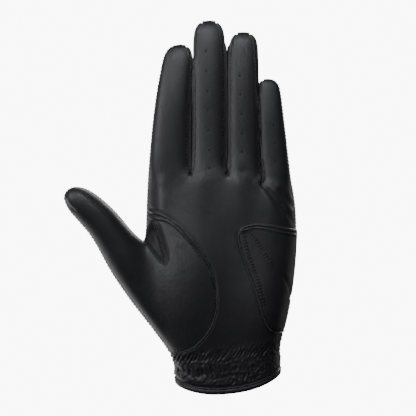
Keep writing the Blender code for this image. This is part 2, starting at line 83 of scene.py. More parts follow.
# Palm rings: height, left x, right x, depth in front of y = 0, depth behind it.
PALM_RINGS = (
    (0, -32.4, 32.2, 20.5, 19.5),
    (4.5, -32.6, 32.4, 20.2, 19.2),
    (14, -33.8, 31.6, 19.5, 18.5),
    (22, -38.4, 32, 20, 18),
    (42, -46.4, 37.2, 21, 17.5),
    (64, -49.6, 40.8, 19.5, 16.5),
    (84, -51.2, 42.2, 17, 15.5),
    (97, -50.6, 42.4, 15.6, 14.5),
    (110, -50.4, 41.4, 14.1, 13.5),
    (121, -49.8, 40, 12.8, 12.5),
)
FRONT_POWER, BACK_POWER = 3.4, 2.4  # how square the palm's section is in front and behind
# Where the cage's columns lie across the palm, and how much higher each ends under the fingers.
COLUMNS = (0.045, 0.155, 0.304, 0.429, 0.551, 0.671, 0.793, 0.895, 0.968)
ROOT_RISES = (0, 2, 3, 2.5, 3, 1, -2, -3.5, -3.5)
FAR_RISE = -3.5
# Swells of the palm: x, z, reach in x, reach in z, height.
PALM_SWELLS = ((-26, 60, 18, 26, 4.6), (26, 46, 12, 28, 2.6), (4, 70, 16, 28, -2))
# The cuff's edge: its rise to the far side, its dip in front, and how flat the dip is in the middle.
CUFF_RISE, CUFF_DIP, CUFF_FLAT = 6, 8, 2.5
CUFF_FADE = (1, 0.85, 0.6, 0.3)  # how much of that line each of the lowest rings follows

# Fingers: base height, tip height, x and width at the base, x and width near the tip, how late it leans.
FINGERS = {
    "index": (124.5, 203.6, -35.4, 24.4, -28.8, 18.2, 2),
    "middle": (125.5, 218.2, -11.2, 19.6, -11.4, 19.5, 1),
    "ring": (122, 211.2, 9.8, 18.9, 9.4, 18, 1),
    "little": (117.5, 183, 29.8, 17.2, 24.1, 13.8, 1),
}
TIP_ROUND = 0.525  # how long the round tip is, in widths of the finger
BENDS = {
    name: [joints[f"{name}_{part}_bend"]["pos_m"][2] / MM for part in ("base", "middle")] for name in FINGERS
}
FINGER_DEPTH = 0.93
TIP_THIN, TIP_THIN_FROM, TIP_THIN_TO = 0.36, 22, 2  # how much thinner a fingertip is, and from where
TIP_STEPS = ((0.42, 0.86), (0.06, 0.46))  # rings of the tip: how far below its end, share of the width
FOOT_REACH = 30  # how far up the foot of a finger is thicker, and by how much
FOOT_THICK = {"index": -0.05, "middle": 0.07, "ring": 0.04, "little": 0.06}
CORNER_X, CORNER_Y = 1.13, 0.8  # where a finger ring's corners lie
FINGER_Y, FINGER_LEAN = -1, -2.5
FORKS = ((-21.9, 125.4), (-0.7, 126.2), (20.3, 119.8))
# Thumb rings: their two ends in x and z, the middle's y, half the depth.
THUMB_RINGS = (
    ((-66.5, 59), (-52.4, 85.8), -5, 14),
    ((-75.8, 77.2), (-57.8, 90.6), -8, 11.5),
    ((-81, 86.8), (-64.6, 99.8), -10, 10.6),
    ((-86, 93.4), (-70.8, 107), -11.5, 10),
    ((-93.8, 101.6), (-81.2, 115.6), -13, 9.2),
    ((-97.4, 107.2), (-88.6, 118.2), -14, 7.4),
    ((-98.6, 111.4), (-93.6, 117.8), -14.4, 4.4),
)
THUMB_TIP = (-97.7, -14.6, 115.6)
THUMB_FOOT, THUMB_TOP = 3, 6  # the palm rings between which the thumb starts
THUMB_SIDES = 10
# The slit in the back narrows upwards, and the tab bends along a line just beyond its sewn end.
SLIT_X, SLIT_HALF, SLIT_END, SLIT_TOP = 5.4, 5, 2.6, 45
TAB_HINGE_X, TAB_END_X, TAB_LOW, TAB_HIGH = -13, 25.5, 13, 39
TAB_SEWN, TAB_CORNER = 6.5, 8
PALM_SIDE, BACK_SIDE = -60, 60  # values of y clear of the glove, from which places on it are found


# ---- small helpers
def between(a, b, share):
    return a + (b - a) * share


def smooth(value):
    value = np.clip(value, 0, 1)
    return value * value * (3 - 2 * value)


def bump(distance, width):
    return np.exp(-((distance / width) ** 2))


def sizes(vectors):
    return np.linalg.norm(vectors, axis=1)


def unit(vectors):
    return vectors / np.maximum(sizes(vectors), 1e-12)[:, None]


def curve(points, steps=8):
    """Points along a Catmull-Rom curve through the given ones."""
    p = [np.array(q, float) for q in points]
    p = [2 * p[0] - p[1], *p, 2 * p[-1] - p[-2]]
    line = []
    for a, b, c, d in zip(p, p[1:], p[2:], p[3:]):
        for t in (k / steps for k in range(steps)):
            bend, twist = 2 * a - 5 * b + 4 * c - d, 3 * b - a - 3 * c + d
            line.append(0.5 * (2 * b + (c - a) * t + bend * t**2 + twist * t**3))
    return np.array([*line, p[-2]])


class Run:
    """A line that can be read at any distance along it."""

    def __init__(self, line):
        self.line = np.asarray(line, float)
        self.lengths = np.concatenate([[0], np.cumsum(sizes(np.diff(self.line, axis=0)))])
        self.length = self.lengths[-1]

    def at(self, distances):
        return np.column_stack([np.interp(distances, self.lengths, values) for values in self.line.T])


def resampled(line, step):
    """The same line with a point every step, and the direction at each."""
    run = Run(line)
    count = max(int(round(run.length / step)), 1)
    at = (np.arange(count) + 0.5) * run.length / count
    return run.at(at), unit(run.at(at + 0.3) - run.at(at - 0.3))


def shifted(line, shift):
    """A line of the x-z plane moved to its left by this much."""
    fine = curve(line)
    ways = unit(np.gradient(fine, axis=0))
    return fine + np.column_stack([-ways[:, 1], ways[:, 0]]) * shift


def line_distance(points, line):
    """The distance of each (x, z) to the nearest place on a line."""
    best = np.full(len(points), np.inf)
    for a, b in zip(line, line[1:]):
        step = b - a
        share = np.clip((points - a) @ step / max(step @ step, 1e-12), 0, 1)
        best = np.minimum(best, sizes(points - a - share[:, None] * step))
    return best


def curve_distance(points, line, steps=4):
    return line_distance(points, curve(line, steps))


def outline_distance(points, outline):
    """The distance of each (x, z) to a closed outline, negative inside it."""
    outline = np.asarray(outline, float)
    inside = np.zeros(len(points), bool)
    for a, b in zip(outline, np.roll(outline, -1, axis=0)):
        if a[1] != b[1]:
            over = (a[1] > points[:, 1]) != (b[1] > points[:, 1])
            x = a[0] + (points[:, 1] - a[1]) / (b[1] - a[1]) * (b[0] - a[0])
            inside ^= over & (x > points[:, 0])
    distance = line_distance(points, np.vstack([outline, outline[:1]]))
    return np.where(inside, -distance, distance)


def noise_at(points, size, seed=0.0):
    """Smooth noise from about -1 to 1 with features of this size."""
    shift = Vector((seed, seed * 1.7, -seed))
    return np.array([noise.noise(Vector(p) / size + shift) for p in points])


def add_object(name, data):
    obj = bpy.data.objects.new(name, data)
    bpy.context.scene.collection.objects.link(obj)
    return obj


# ---- the cage
class Cage:
    """Points, and faces that each carry the name of a piece."""

    def __init__(self):
        self.points, self.faces, self.pieces = [], [], []

    def point(self, x, y, z):
        self.points.append((x, y, z))
        return len(self.points) - 1

    def face(self, corners, piece):
        self.faces.append(tuple(corners))
        self.pieces.append(piece)

    def band(self, low, high, pieces):
        for i, piece in enumerate(pieces):
            j = (i + 1) % len(low)
            if piece:
                self.face((low[i], low[j], high[j], high[i]), piece)

    def close(self, ring, centre, pieces, first):
        """Quads from every other point of the last ring to a point in the middle of the tip."""
        middle = self.point(*centre)
        for k, piece in enumerate(pieces):
            i = (first + 2 * (k - 1)) % len(ring)
            self.face((middle, *(ring[(i + step) % len(ring)] for step in range(3))), piece)


def kept(neighbours):
    """The share of its reach that a ring keeps when the cage is smoothed, from its neighbours' reach."""
    return (4 + 2 * neighbours) / 6


def cuff_line(share, dip):
    """How high the cuff's edge lies this share of the way across it."""
    return CUFF_RISE * share - dip * (1 - abs(2 * share - 1) ** CUFF_FLAT)


def palm_ring(cage, number):
    height, left, right, front, back = PALM_RINGS[number]
    fade = CUFF_FADE[number] if number < len(CUFF_FADE) else 0.0

    def lift(share, dip=0.0):
        return height + fade * cuff_line(share, dip)

    def swell(x, z):
        return sum(h * bump(math.hypot((x - cx) / rx, (z - cz) / rz), 1) for cx, cz, rx, rz, h in PALM_SWELLS)

    def depth(share, power):
        return (1 - abs(2 * share - 1) ** power) ** (1 / power)

    in_front, behind = [], []
    for share in COLUMNS:
        x, z = between(left, right, share), lift(share, CUFF_DIP)
        in_front.append(cage.point(x, -front * depth(share, FRONT_POWER) - swell(x, z), z))
        behind.append(cage.point(x, back * depth(share, BACK_POWER), lift(share)))
    return [*in_front, cage.point(right, 0.0, lift(1.0)), *reversed(behind), cage.point(left, 0.0, lift(0.0))]


def straight_top(name):
    """How high a finger runs before it starts to round off into its tip."""
    return FINGERS[name][1] - FINGERS[name][5] * TIP_ROUND


def finger_place(name, z):
    """A finger's middle and half its width at this height."""
    base, tip, base_x, base_width, tip_x, tip_width, late = FINGERS[name]
    share = np.maximum(z - base, 0) / (tip - base)
    taper = np.clip((z - base) / (straight_top(name) - base), 0, 1) ** 1.3
    x, y = between(base_x, tip_x, share**late), FINGER_Y + FINGER_LEAN * share**2
    return x, y, between(base_width, tip_width, taper) / 2


def walls(z):
    """The x where each two neighbouring fingers meet at this height."""
    places = [finger_place(name, z) for name in FINGERS]
    return [(a + a_half + b - b_half) / 2 for (a, _, a_half), (b, _, b_half) in zip(places, places[1:])]


def thinness(name, z):
    """How thin a finger is at this height, as a share of its depth lower down."""
    below = FINGERS[name][1] - z
    foot = 1 + FOOT_THICK[name] * (1 - smooth((z - FINGERS[name][0]) / FOOT_REACH))
    return foot - TIP_THIN * smooth((TIP_THIN_FROM - below) / (TIP_THIN_FROM - TIP_THIN_TO))


def finger_ring(cage, name, z, share):
    """Eight points round a finger at this height, for a share of its width."""
    x, y, half_width = finger_place(name, z)
    a = half_width * share / kept(CORNER_X)
    b = half_width * share * FINGER_DEPTH * thinness(name, z) / kept(CORNER_Y)
    i, j = CORNER_X, CORNER_Y
    places = ((-i, -j), (0, -1), (i, -j), (1, 0), (i, j), (0, 1), (-i, j), (-1, 0))
    return [cage.point(x + a * u, y + b * v, z) for u, v in places]


def add_finger(cage, name, base_ring, number):
    tip, tip_width, straight = FINGERS[name][1], FINGERS[name][5], straight_top(name)
    low_bend, high_bend = BENDS[name]
    levels = [(z, 1) for z in (low_bend, high_bend, between(high_bend, straight, 0.5), straight)]
    levels += [(tip - tip_width / 2 * below_tip, share) for below_tip, share in TIP_STEPS]
    rings = [base_ring, *(finger_ring(cage, name, z, share) for z, share in levels)]
    for k, (low, high) in enumerate(zip(rings, rings[1:])):
        palm, back = (f"{name}_palm", f"{name}_back") if k else ("palm", "back")
        right = [f"{name}_far_side" if k else f"fork_{number}"] * 2 if number < 3 else [palm, back]
        left = [f"{name}_thumb_side" if k else f"fork_{number - 1}"] * 2 if number > 0 else [back, palm]
        cage.band(low, high, [palm, palm, *right, back, back, *left])
    x, y, _ = finger_place(name, tip)
    cage.close(rings[-1], (x, y, tip + 0.5), [f"{name}_palm"] * 2 + [f"{name}_back"] * 2, 1)


def add_thumb(cage, rings):
    foot, top, half_sides = THUMB_FOOT, THUMB_TOP, THUMB_SIDES // 2
    hole = [rings[foot][19], *(rings[k][0] for k in range(foot, top + 1)), rings[top][19]]
    hole += [rings[k][18] for k in range(top, foot - 1, -1)]
    tubes = [hole]
    turn = 2 * math.pi / THUMB_SIDES
    reach = kept(math.cos(turn))
    for lower, upper, y, half_depth in THUMB_RINGS:
        lower, upper = np.array(lower), np.array(upper)
        middle, half = (lower + upper) / 2, (upper - lower) / 2 / reach
        ring = []
        for angle in math.pi - turn * np.arange(THUMB_SIDES):
            x, z = middle + half * math.cos(angle)
            ring.append(cage.point(x, y - half_depth / reach * math.sin(angle), z))
        tubes.append(ring)
    for k, (low, high) in enumerate(zip(tubes, tubes[1:])):
        part = ("root", "lower", "upper")[min(k, 2)]
        cage.band(low, high, [f"thumb_palm_{part}"] * half_sides + [f"thumb_back_{part}"] * half_sides)
    cage.close(tubes[-1], THUMB_TIP, ["thumb_palm_upper"] * 3 + ["thumb_back_upper"] * 2, 2)


def glove_cage():
    cage = Cage()
    rings = [palm_ring(cage, k) for k in range(len(PALM_RINGS))]
    for k, (low, high) in enumerate(zip(rings, rings[1:])):
        pieces = ["palm"] * 9 + ["back"] * 10 + ["palm"]
        if THUMB_FOOT <= k < THUMB_TOP:
            pieces[18] = pieces[19] = None
        cage.band(low, high, pieces)
    top = rings[-1]
    front, far, back, near = top[:9], top[9], top[18:9:-1], top[19]
    rises = [(far, FAR_RISE), *zip(front, ROOT_RISES), *zip(back, ROOT_RISES)]
    for k, rise in rises:
        x, y, z = cage.points[k]
        cage.points[k] = (x, y, z + rise)
    webs = [near, *[cage.point(x, FINGER_Y, z) for x, z in FORKS], far]
    for number, name in enumerate(FINGERS):
        i = 2 * number
        ring = [*front[i : i + 3], webs[number + 1], back[i + 2], back[i + 1], back[i], webs[number]]
        add_finger(cage, name, ring, number)
    add_thumb(cage, rings)
    return cage


# ---- the skin as arrays
def numbers(items, field, width, kind):
    values = np.empty(len(items) * width, kind)
    items.foreach_get(field, values)
    return values


class Skin:
    """The smoothed skin: points, quads, the piece of each quad, and a normal at each point."""

    def __init__(self, cage):
        self.names = sorted(set(cage.pieces))
        mesh = bpy.data.meshes.new("skin")
        mesh.from_pydata(cage.points, [], cage.faces)
        mesh.polygons.foreach_set("material_index", [self.names.index(p) for p in cage.pieces])
        obj = add_object("skin", mesh)
        modifier = obj.modifiers.new("smoothing", "SUBSURF")
        modifier.levels = modifier.render_levels = DETAIL
        fine = obj.evaluated_get(bpy.context.evaluated_depsgraph_get()).to_mesh()
        self.points = numbers(fine.vertices, "co", 3, float).reshape(-1, 3)
        self.quads = numbers(fine.loops, "vertex_index", 1, int).reshape(-1, 4)
        self.piece = numbers(fine.polygons, "material_index", 1, int)
        bpy.data.objects.remove(obj)
        bpy.data.meshes.remove(mesh)
        self.rest = self.points.copy()
        self.find_normals()

    def find_normals(self):
        p = self.points[self.quads]
        across = np.cross(p[:, 2] - p[:, 0], p[:, 3] - p[:, 1])
        normals = np.zeros_like(self.points)
        for k in range(4):
            np.add.at(normals, self.quads[:, k], across)
        self.normals = unit(normals)

    def push(self, amount):
        """Moves every point along its normal."""
        self.points += self.normals * np.asarray(amount)[:, None]
        self.find_normals()

    def edges(self):
        """The directed edges of each quad, and a key for each that is the same from both sides."""
        ends = np.stack([self.quads, np.roll(self.quads, -1, axis=1)], 2)
        return ends, np.sort(ends, axis=2) @ np.array([len(self.points), 1])

    def seam_chains(self, first, second):
        """Chains of point numbers along the border between pieces whose names pass two tests."""
        a = np.array([first(n) for n in self.names])[self.piece]
        b = np.array([second(n) for n in self.names])[self.piece]
        _, keys = self.edges()
        links = {}
        for key in np.intersect1d(keys[a], keys[b]):
            u, v = divmod(int(key), len(self.points))
            links.setdefault(u, []).append(v)
            links.setdefault(v, []).append(u)
        chains, used = [], set()
        for start in sorted(links, key=lambda v: (len(links[v]) != 1, v)):
            if start in used:
                continue
            chain, onward = [], [start]
            while onward:
                chain.append(onward[0])
                used.add(onward[0])
                onward = [v for v in links[chain[-1]] if v not in used]
            if len(chain) > 3:
                chains.append(chain)
        return chains


# ---- zones: what each part of the skin moves with
# A zone is a stretch of the glove that rides on one body, or lies between two from one place to another; only
# a one-body zone is attached to its body.
def attach(obj, zone):
    *bodies, start, end = ZONES[zone]
    if len(bodies) == 1:
        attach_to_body(obj, bodies[0])
    else:
        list(bodies)
        Vector(start) * MM
        Vector(end) * MM
        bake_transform(obj)


def upward(line):
    """The direction across a line of the x-z plane, towards the tips."""
    (ax, az), (bx, bz) = line
    return np.array((az - bz, 0.0, bx - ax)) / math.hypot(az - bz, bx - ax)


def beyond_line(points, line):
    """Whether each (x, y, z) is on the tips' side of a line of the x-z plane."""
    (ax, az), _ = line
    return (points - (ax, 0.0, az)) @ upward(line) > 0


def thumb_zone(joint, below, above, *bodies):
    """A zone across a thumb joint, from this far before the joint's plane to this far beyond it."""
    point = np.array(joints[joint]["pos_m"]) / MM
    x, _, z = joints[joint]["axis"]
    onward = np.array((-z, 0, x))
    return (*bodies, point - onward * below, point + onward * above)


FOOT_RISE = 1.2  # how far above the line between its forks a finger's zone starts
BEND_REACH = 8.0  # how far from a finger's joint its zone between two bodies reaches
THUMB_LEFT_OF = -51.5  # the x beyond which the skin may be the thumb's
FAR_OUT = 60.0  # beyond the fingers and the palm
FOOT_ENDS = [(-FAR_OUT, FORKS[0][1]), *FORKS, (FAR_OUT, FORKS[2][1])]
FEET, MIDDLES = {}, {}
TAB_BEND = [(TAB_HINGE_X + step, 19.0, 26.0) for step in (-3.5, 3.5)]
ZONES = {
    "hand": ("hand", None, None),
    "tab": ("hand", "closure_tab", *TAB_BEND),
    "flap": ("closure_tab", None, None),
}
for number, (finger, (low_bend, high_bend)) in enumerate(BENDS.items()):
    (ax, az), (bx, bz) = FOOT_ENDS[number : number + 2]
    line = ((ax, az + FOOT_RISE), (bx, bz + FOOT_RISE))
    FEET[finger], MIDDLES[finger] = line, between(low_bend, high_bend, 0.5)
    middle_x = finger_place(finger, low_bend)[0]
    foot = np.array((middle_x, 0.0, between(line[0][1], line[1][1], (middle_x - ax) / (bx - ax))))
    rise = upward(line) * (low_bend + BEND_REACH - foot[2])
    ZONES[f"{finger}_root"] = ("hand", f"{finger}_lower", foot, foot + rise)
    ends = [(middle_x, 0.0, high_bend + step) for step in (-BEND_REACH, BEND_REACH)]
    ZONES[f"{finger}_tip"] = (f"{finger}_lower", f"{finger}_upper", *ends)
ZONES["thumb_root"] = thumb_zone("thumb_base_bend", 0.0, 6.3, "hand", "thumb_lower")
ZONES["thumb_tip"] = thumb_zone("thumb_tip_bend", 7.0, 7.0, "thumb_lower", "thumb_upper")


def zones_of(points):
    """The name of the zone of each point on or near the skin."""
    found = np.array(["hand"] * len(points), dtype="<U12")
    x, z = points[:, 0], points[:, 2]
    edges = [-FAR_OUT, *walls(z), FAR_OUT]
    for k, finger in enumerate(FINGERS):
        column = (x > edges[k]) & (x <= edges[k + 1]) & beyond_line(points, FEET[finger])
        found[column] = f"{finger}_root"
        found[column & (z > MIDDLES[finger])] = f"{finger}_tip"
    on_thumb = (x < THUMB_LEFT_OF) & beyond_line(points, THUMB_RINGS[0][:2])
    found[on_thumb] = "thumb_root"
    found[on_thumb & beyond_line(points, THUMB_RINGS[1][:2])] = "thumb_tip"
    return found


# ---- seams and sewn layers, in the x-z plane
FAR_LEFT = ((-140, 10), (-140, 130))
THUMB_SEAM_PALM = (
    (-62, 112), (-47.5, 102.6), (-37, 99), (-28, 92), (-21, 84), (-15, 76), (-10.6, 67.5),
    (-7.2, 57), (-6.8, 47), (-8.8, 38), (-13.2, 29.6), (-19.4, 23), (-26, 19.8), (-33.6, 17.6),
    (-50, 14),
)
THUMB_SEAM_BACK = (
    (-62, 112), (-47.5, 102.6), (-41.5, 92), (-37.5, 74), (-33, 54), (-29.5, 36),
    (-30, 24), (-33.6, 17.6), (-50, 14),
)
STRIP_OUTER = (
    (-47.4, 104.8), (-44.3, 103.7), (-39.7, 101.8), (-32.2, 97.6), (-27.5, 93.8), (-22.9, 89), (-18.7, 84.4),
    (-13.6, 77), (-9.8, 68.6), (-7.2, 60), (-6.6, 53),
)
STRIP_INNER = (
    (-47, 98.2), (-42.6, 97.4), (-37.2, 96.4), (-33, 93.8), (-28.8, 90.1), (-24.6, 85.6), (-20.4, 80.6),
    (-15.8, 74), (-11.6, 66.4), (-8.4, 58.8), (-7, 53),
)
GUSSET = (
    (-46.4, 97.6), (-40.6, 96), (-38.7, 90.9), (-37, 86), (-35.4, 80.2), (-35.1, 74.6), (-36.4, 71.2),
    (-38.9, 71), (-41.6, 73.2), (-45.4, 77.8), (-48.4, 82.4), (-50.6, 87),
)
GUSSET_FOLD = ((-43.8, 96.4), (-41.4, 89.4), (-39.4, 83), (-38.1, 77.4), (-37.6, 73.4))
HEEL = (
    (10.6, 94.4), (17.1, 95.6), (24, 95.2), (31.8, 93.8), (40.8, 92.2), (60, 90), (60, 30), (32.4, 30.4),
    (26.6, 31), (23.2, 34.2), (20, 42), (16.8, 53.4), (12.6, 65.8), (7.8, 78.6), (5.6, 89.7), (7.6, 93),
)
HEEL_TOP = ((7.4, 93), (10.6, 94.5), (17.1, 95.7), (24, 95.3), (31.8, 93.9), (37, 92.9), (40.2, 92.2))
HEEL_TOP_LOW = ((7.6, 90.4), (12, 91.6), (17.4, 92.2), (24, 91.2), (31.8, 89.5), (37, 88.4), (40.4, 87.6))
HEEL_EDGE = (
    (6, 89.4), (8.1, 78.6), (12.9, 65.8), (17.1, 53.4), (20.3, 42), (23.5, 34.4), (27, 31.3), (33.6, 30.8),
)
HEEL_BARS = ((9.4, 89), (11, 80), (14.8, 69.4), (18.6, 57.6), (21.4, 47))
HEEL_FAN = ((12.9, 89.4), (16.3, 85.4), (19.8, 80.2), (23.4, 75.2), (25.8, 72.4))
HEEL_CORNER = (8.8, 92.2)
HEEL_SEAM = ((26.6, 71), (31, 66.7), (34.3, 61.7), (36.6, 56), (37.8, 50))
HEEL_BEHIND = 3
THUMB_FRONT = [*curve(THUMB_SEAM_PALM, 6), *FAR_LEFT]
THUMB_BEHIND = [*curve(THUMB_SEAM_BACK, 6), *FAR_LEFT]
STRIP_INSIDE = [*curve(STRIP_INNER, 6), *FAR_LEFT]
GUSSET_LINE = curve((*GUSSET, GUSSET[0]), 6)[:-1]


# Functions of points on the skin, negative inside a shape.
def within(outline):
    return lambda p: outline_distance(p[:, [0, 2]], outline)


def in_front(depth):
    return lambda p: p[:, 1] + depth


def thumb_level(p):
    """Negative inside the thumb leather's outline: one outline in front, another behind."""
    front, back = within(THUMB_FRONT)(p), within(THUMB_BEHIND)(p)
    return between(front, back, np.clip(0.5 + p[:, 1] / 6, 0, 1))


def slit_level(p):
    """Negative inside the opening in the back: a slot that narrows to a round end."""
    x, y, z = p.T
    round_end = np.hypot(x - SLIT_X, z - SLIT_TOP) - SLIT_END
    straight = np.abs(x - SLIT_X) - between(SLIT_HALF, SLIT_END, z / SLIT_TOP)
    return np.where(y < 0, FAR_OUT, np.where(z > SLIT_TOP, round_end, straight))


def near_row(row, half):
    """Negative in a band this far above and below a shirred row."""
    return lambda p: np.abs(p[:, 2] - row_height(p[:, 0], row)) - half


def rounded_box(left, right, low, high, corner):
    """A rounded rectangle on the back."""

    def value(p):
        x, y, z = p.T
        u = np.abs(x - (left + right) / 2) - (right - left) / 2 + corner
        v = np.abs(z - (low + high) / 2) - (high - low) / 2 + corner
        level = np.hypot(np.maximum(u, 0), np.maximum(v, 0)) + np.minimum(np.maximum(u, v), 0) - corner
        return np.where(y < 0, FAR_OUT, level)

    return value


ROWS = ((14.6, 21.2), (7.4, 11.8))  # heights of the two shirred rows at the thumb side and at the far side
ROW_LEFT, ROW_WIDTH, ROW_SAG = -33, 65, 4


def row_height(x, row):
    """How high a shirred row runs at this x on the palm side."""
    share = (x - ROW_LEFT) / ROW_WIDTH
    return between(*row, share) - ROW_SAG * share * (1 - share)


def cuff_edge(x):
    """How high the cuff's lower edge lies at this x on the palm side."""
    _, left, right, _, _ = PALM_RINGS[0]
    return cuff_line(np.clip((x - left) / (right - left), 0, 1), CUFF_DIP)


# ---- patches of the skin, cut along their outlines
class Patch:
    """Part of the skin: points, normals, faces, and how deep each point lies inside the outline."""

    def __init__(self, points, normals, faces, depth=None):
        self.points, self.normals, self.faces, self.depth = points, normals, faces, depth


def border_of(faces):
    """The directed edges that only one face uses."""
    used = dict.fromkeys((a, b) for face in faces for a, b in zip(face, [*face[1:], face[0]]))
    return [(a, b) for a, b in used if (b, a) not in used]


def closed(faces, count):
    """The faces of a sheet, the same ones under it, count points further on, and a wall round its border."""
    under = [[k + count for k in reversed(face)] for face in faces]
    return faces + under + [[b, a, a + count, b + count] for a, b in border_of(faces)]


def whole_quads(keep):
    """The quads of the skin that keep marks."""
    quads = skin.quads[keep]
    used, index = np.unique(quads, return_inverse=True)
    return Patch(skin.points[used], skin.normals[used], index.reshape(-1, 4).tolist())


def cut_along(mesh, value, near=0.25):
    """Splits the faces where value is zero, and marks those where it is positive with material index 1."""
    verts = list(mesh.verts)
    levels = value(np.array([v.co for v in verts]))
    level = dict(zip(verts, levels.tolist()))

    def crossed(face):
        signs = [level[v] for v in face.verts]
        return min(signs) < 0 < max(signs)

    mixed = [f for f in mesh.faces if crossed(f)]
    mixed = bmesh.ops.triangulate(mesh, faces=mixed)["faces"] + [f for f in mixed if f.is_valid]
    mixed = list(dict.fromkeys(mixed))
    edges = list(dict.fromkeys(e for f in mixed for e in f.edges))
    for edge in edges:
        a, b = edge.verts
        if level[a] * level[b] >= 0:
            continue
        share = level[a] / (level[a] - level[b])
        if min(share, 1 - share) < near:
            start, end, share = (a, b, share) if share < 0.5 else (b, a, 1 - share)
            start.co = start.co.lerp(end.co, share)
            start.normal = start.normal.lerp(end.normal, share).normalized()
            level[start] = 0.0
    for edge in edges:
        a, b = edge.verts
        if level[a] * level[b] < 0:
            share = level[a] / (level[a] - level[b])
            normal = a.normal.lerp(b.normal, share).normalized()
            _, middle = bmesh.utils.edge_split(edge, a, share)
            middle.normal = normal
            level[middle] = 0.0
    for face in mixed:
        on_line = [v for v in face.verts if level[v] == 0.0]
        if len(on_line) == 2 and crossed(face):
            bmesh.utils.face_split(face, *on_line)
    for face in mesh.faces:
        total = sum(level[v] for v in face.verts)
        if total > 0 or (total == 0 and value(np.array([face.calc_center_median()]))[0] > 0):
            face.material_index = 1


def cut_patch(values, keep=None, reach=1.6):
    """The part of the skin where every value is negative."""
    centres = skin.points[skin.quads].mean(1)
    near = np.all([value(centres) < reach for value in values], axis=0)
    if keep is not None:
        near &= keep
    start = whole_quads(near)
    mesh = bmesh.new()
    made = [mesh.verts.new(p) for p in start.points]
    for vert, normal in zip(made, start.normals):
        vert.normal = Vector(normal)
    for face in start.faces:
        mesh.faces.new([made[k] for k in face])
    for value in values:
        cut_along(mesh, value)
    bmesh.ops.delete(mesh, geom=[f for f in mesh.faces if f.material_index], context="FACES")
    mesh.verts.index_update()
    points = np.array([v.co for v in mesh.verts])
    normals = np.array([v.normal for v in mesh.verts])
    faces = [[v.index for v in f.verts] for f in mesh.faces]
    mesh.free()
    depth = -np.max([value(points) for value in values], axis=0)
    return Patch(points, normals, faces, np.maximum(depth, 0))


# ---- materials
def set_inputs(tree, node, inputs):
    """Sets a node's inputs by name: a number or colour directly, another node's output by a link."""
    for name, value in inputs.items():
        if isinstance(value, bpy.types.NodeSocket):
            tree.links.new(value, node.inputs[name])
        else:
            node.inputs[name].default_value = value


def add_node(tree, kind, output, inputs, data_type=None):
    node = tree.nodes.new(f"ShaderNode{kind}")
    if data_type:
        node.data_type = data_type
    set_inputs(tree, node, inputs)
    return node.outputs[output]


def spread(tree, value, low, high):
    """Stretches the middle of a noise over the range from low to high."""
    inputs = {"Value": value, "From Min": 0.3, "From Max": 0.7, "To Min": low, "To Max": high}
    return add_node(tree, "MapRange", "Result", inputs)


def noise_texture(tree, where, scale, detail=3.0, rough=0.55):
    inputs = {"Vector": where, "Scale": scale, "Detail": detail, "Roughness": rough}
    return add_node(tree, "TexNoise", "Fac", inputs)


def cells(tree, where, scale):
    return add_node(tree, "TexVoronoi", "Distance", {"Vector": where, "Scale": scale})


def relief(tree, height, strength, distance, under=()):
    inputs = {"Height": height, "Strength": strength, "Distance": distance, **dict(under)}
    return add_node(tree, "Bump", "Normal", inputs)


def tones(tree, factor, colour, first, second):
    """A mix of two strengths of a colour."""
    ends = [(*(c * k for c in colour), 1) for k in (first, second)]
    return add_node(tree, "Mix", "Result", {"Factor": factor, "A": ends[0], "B": ends[1]}, "RGBA")


def new_material(name):
    material = bpy.data.materials.new(name)
    material.use_nodes = True
    tree = material.node_tree
    return material, tree, tree.nodes["Principled BSDF"], add_node(tree, "TexCoord", "Object", {})


def leather(name, colour, roughness, grain=1.0, sheen=0.15):
    """Fine-grained leather: pebbles and pores, faint blotches, and a gloss that varies."""
    material, tree, shader, where = new_material(name)
    blotches = spread(tree, noise_texture(tree, where, 55.0, 4.0), 0.0, 1.0)
    gloss = spread(tree, noise_texture(tree, where, 900.0), roughness - 0.05, roughness + 0.07)
    pebbles = relief(tree, cells(tree, where, 1500.0), 0.22 * grain, 0.00012)
    pores = noise_texture(tree, where, 420.0, 5.0, 0.6)
    set_inputs(tree, shader, {
        "Base Color": tones(tree, blotches, colour, 0.8, 1.25),
        "Roughness": gloss,
        "Normal": relief(tree, pores, 0.5 * grain, 0.00026, {"Normal": pebbles}),
        "Specular IOR Level": 0.5,
        "Sheen Weight": sheen,
        "Sheen Roughness": 0.45,
    })
    return material


def cloth(name, colour, scale, roughness=0.9):
    """A woven, brushed or napped black textile, and also the near-black disc of painted shade in each air
    hole.
    """
    material, tree, shader, where = new_material(name)
    weave = cells(tree, where, scale)
    set_inputs(tree, shader, {
        "Base Color": tones(tree, weave, colour, 1.3, 0.6),
        "Roughness": roughness,
        "Normal": relief(tree, weave, 0.7, 0.0003),
        "Sheen Weight": 0.3,
    })
    return material


def black(strength):
    return tuple(c * strength for c in (0.0085, 0.0087, 0.0105))


LEATHER_LOOK = leather("leather", black(1), 0.48)
SIDE_LOOK = leather("side_leather", black(0.85), 0.55)
PATCH_LOOK = leather("patch_leather", black(0.95), 0.5)
# The gusset's leather is darker than the rest: painted shade for the shadow in its recess between the thumb
# and the palm.
GUSSET_SHADE_LOOK = leather("gusset_leather_painted_shade", black(0.8), 0.66, sheen=0.05)
# Lighter leather for the raised seam strips, piping and welt: a painted highlight along their ridges.
SEAM_HIGHLIGHT_LOOK = leather("seam_leather_painted_highlight", black(2.2), 0.4)
BINDING_LOOK = leather("binding", black(0.9), 0.5, 1.4)
THREAD_LOOK = leather("thread", (0.02, 0.02, 0.023), 0.36, 0.3, 0.3)
SUEDE_LOOK = cloth("suede_inside", (0.012, 0.0118, 0.0115), 1100.0)
ELASTIC_LOOK = cloth("elastic", (0.012, 0.012, 0.013), 900.0)
LOOP_LOOK = cloth("loops", (0.010, 0.010, 0.011), 1400.0)
HOOK_LOOK = cloth("hooks", (0.016, 0.016, 0.018), 700.0, 0.5)
# A near-black disc in each air hole: painted shade for the dark inside of the hole.
HOLE_SHADE_LOOK = cloth("hole", (0.001, 0.001, 0.001), 900.0)


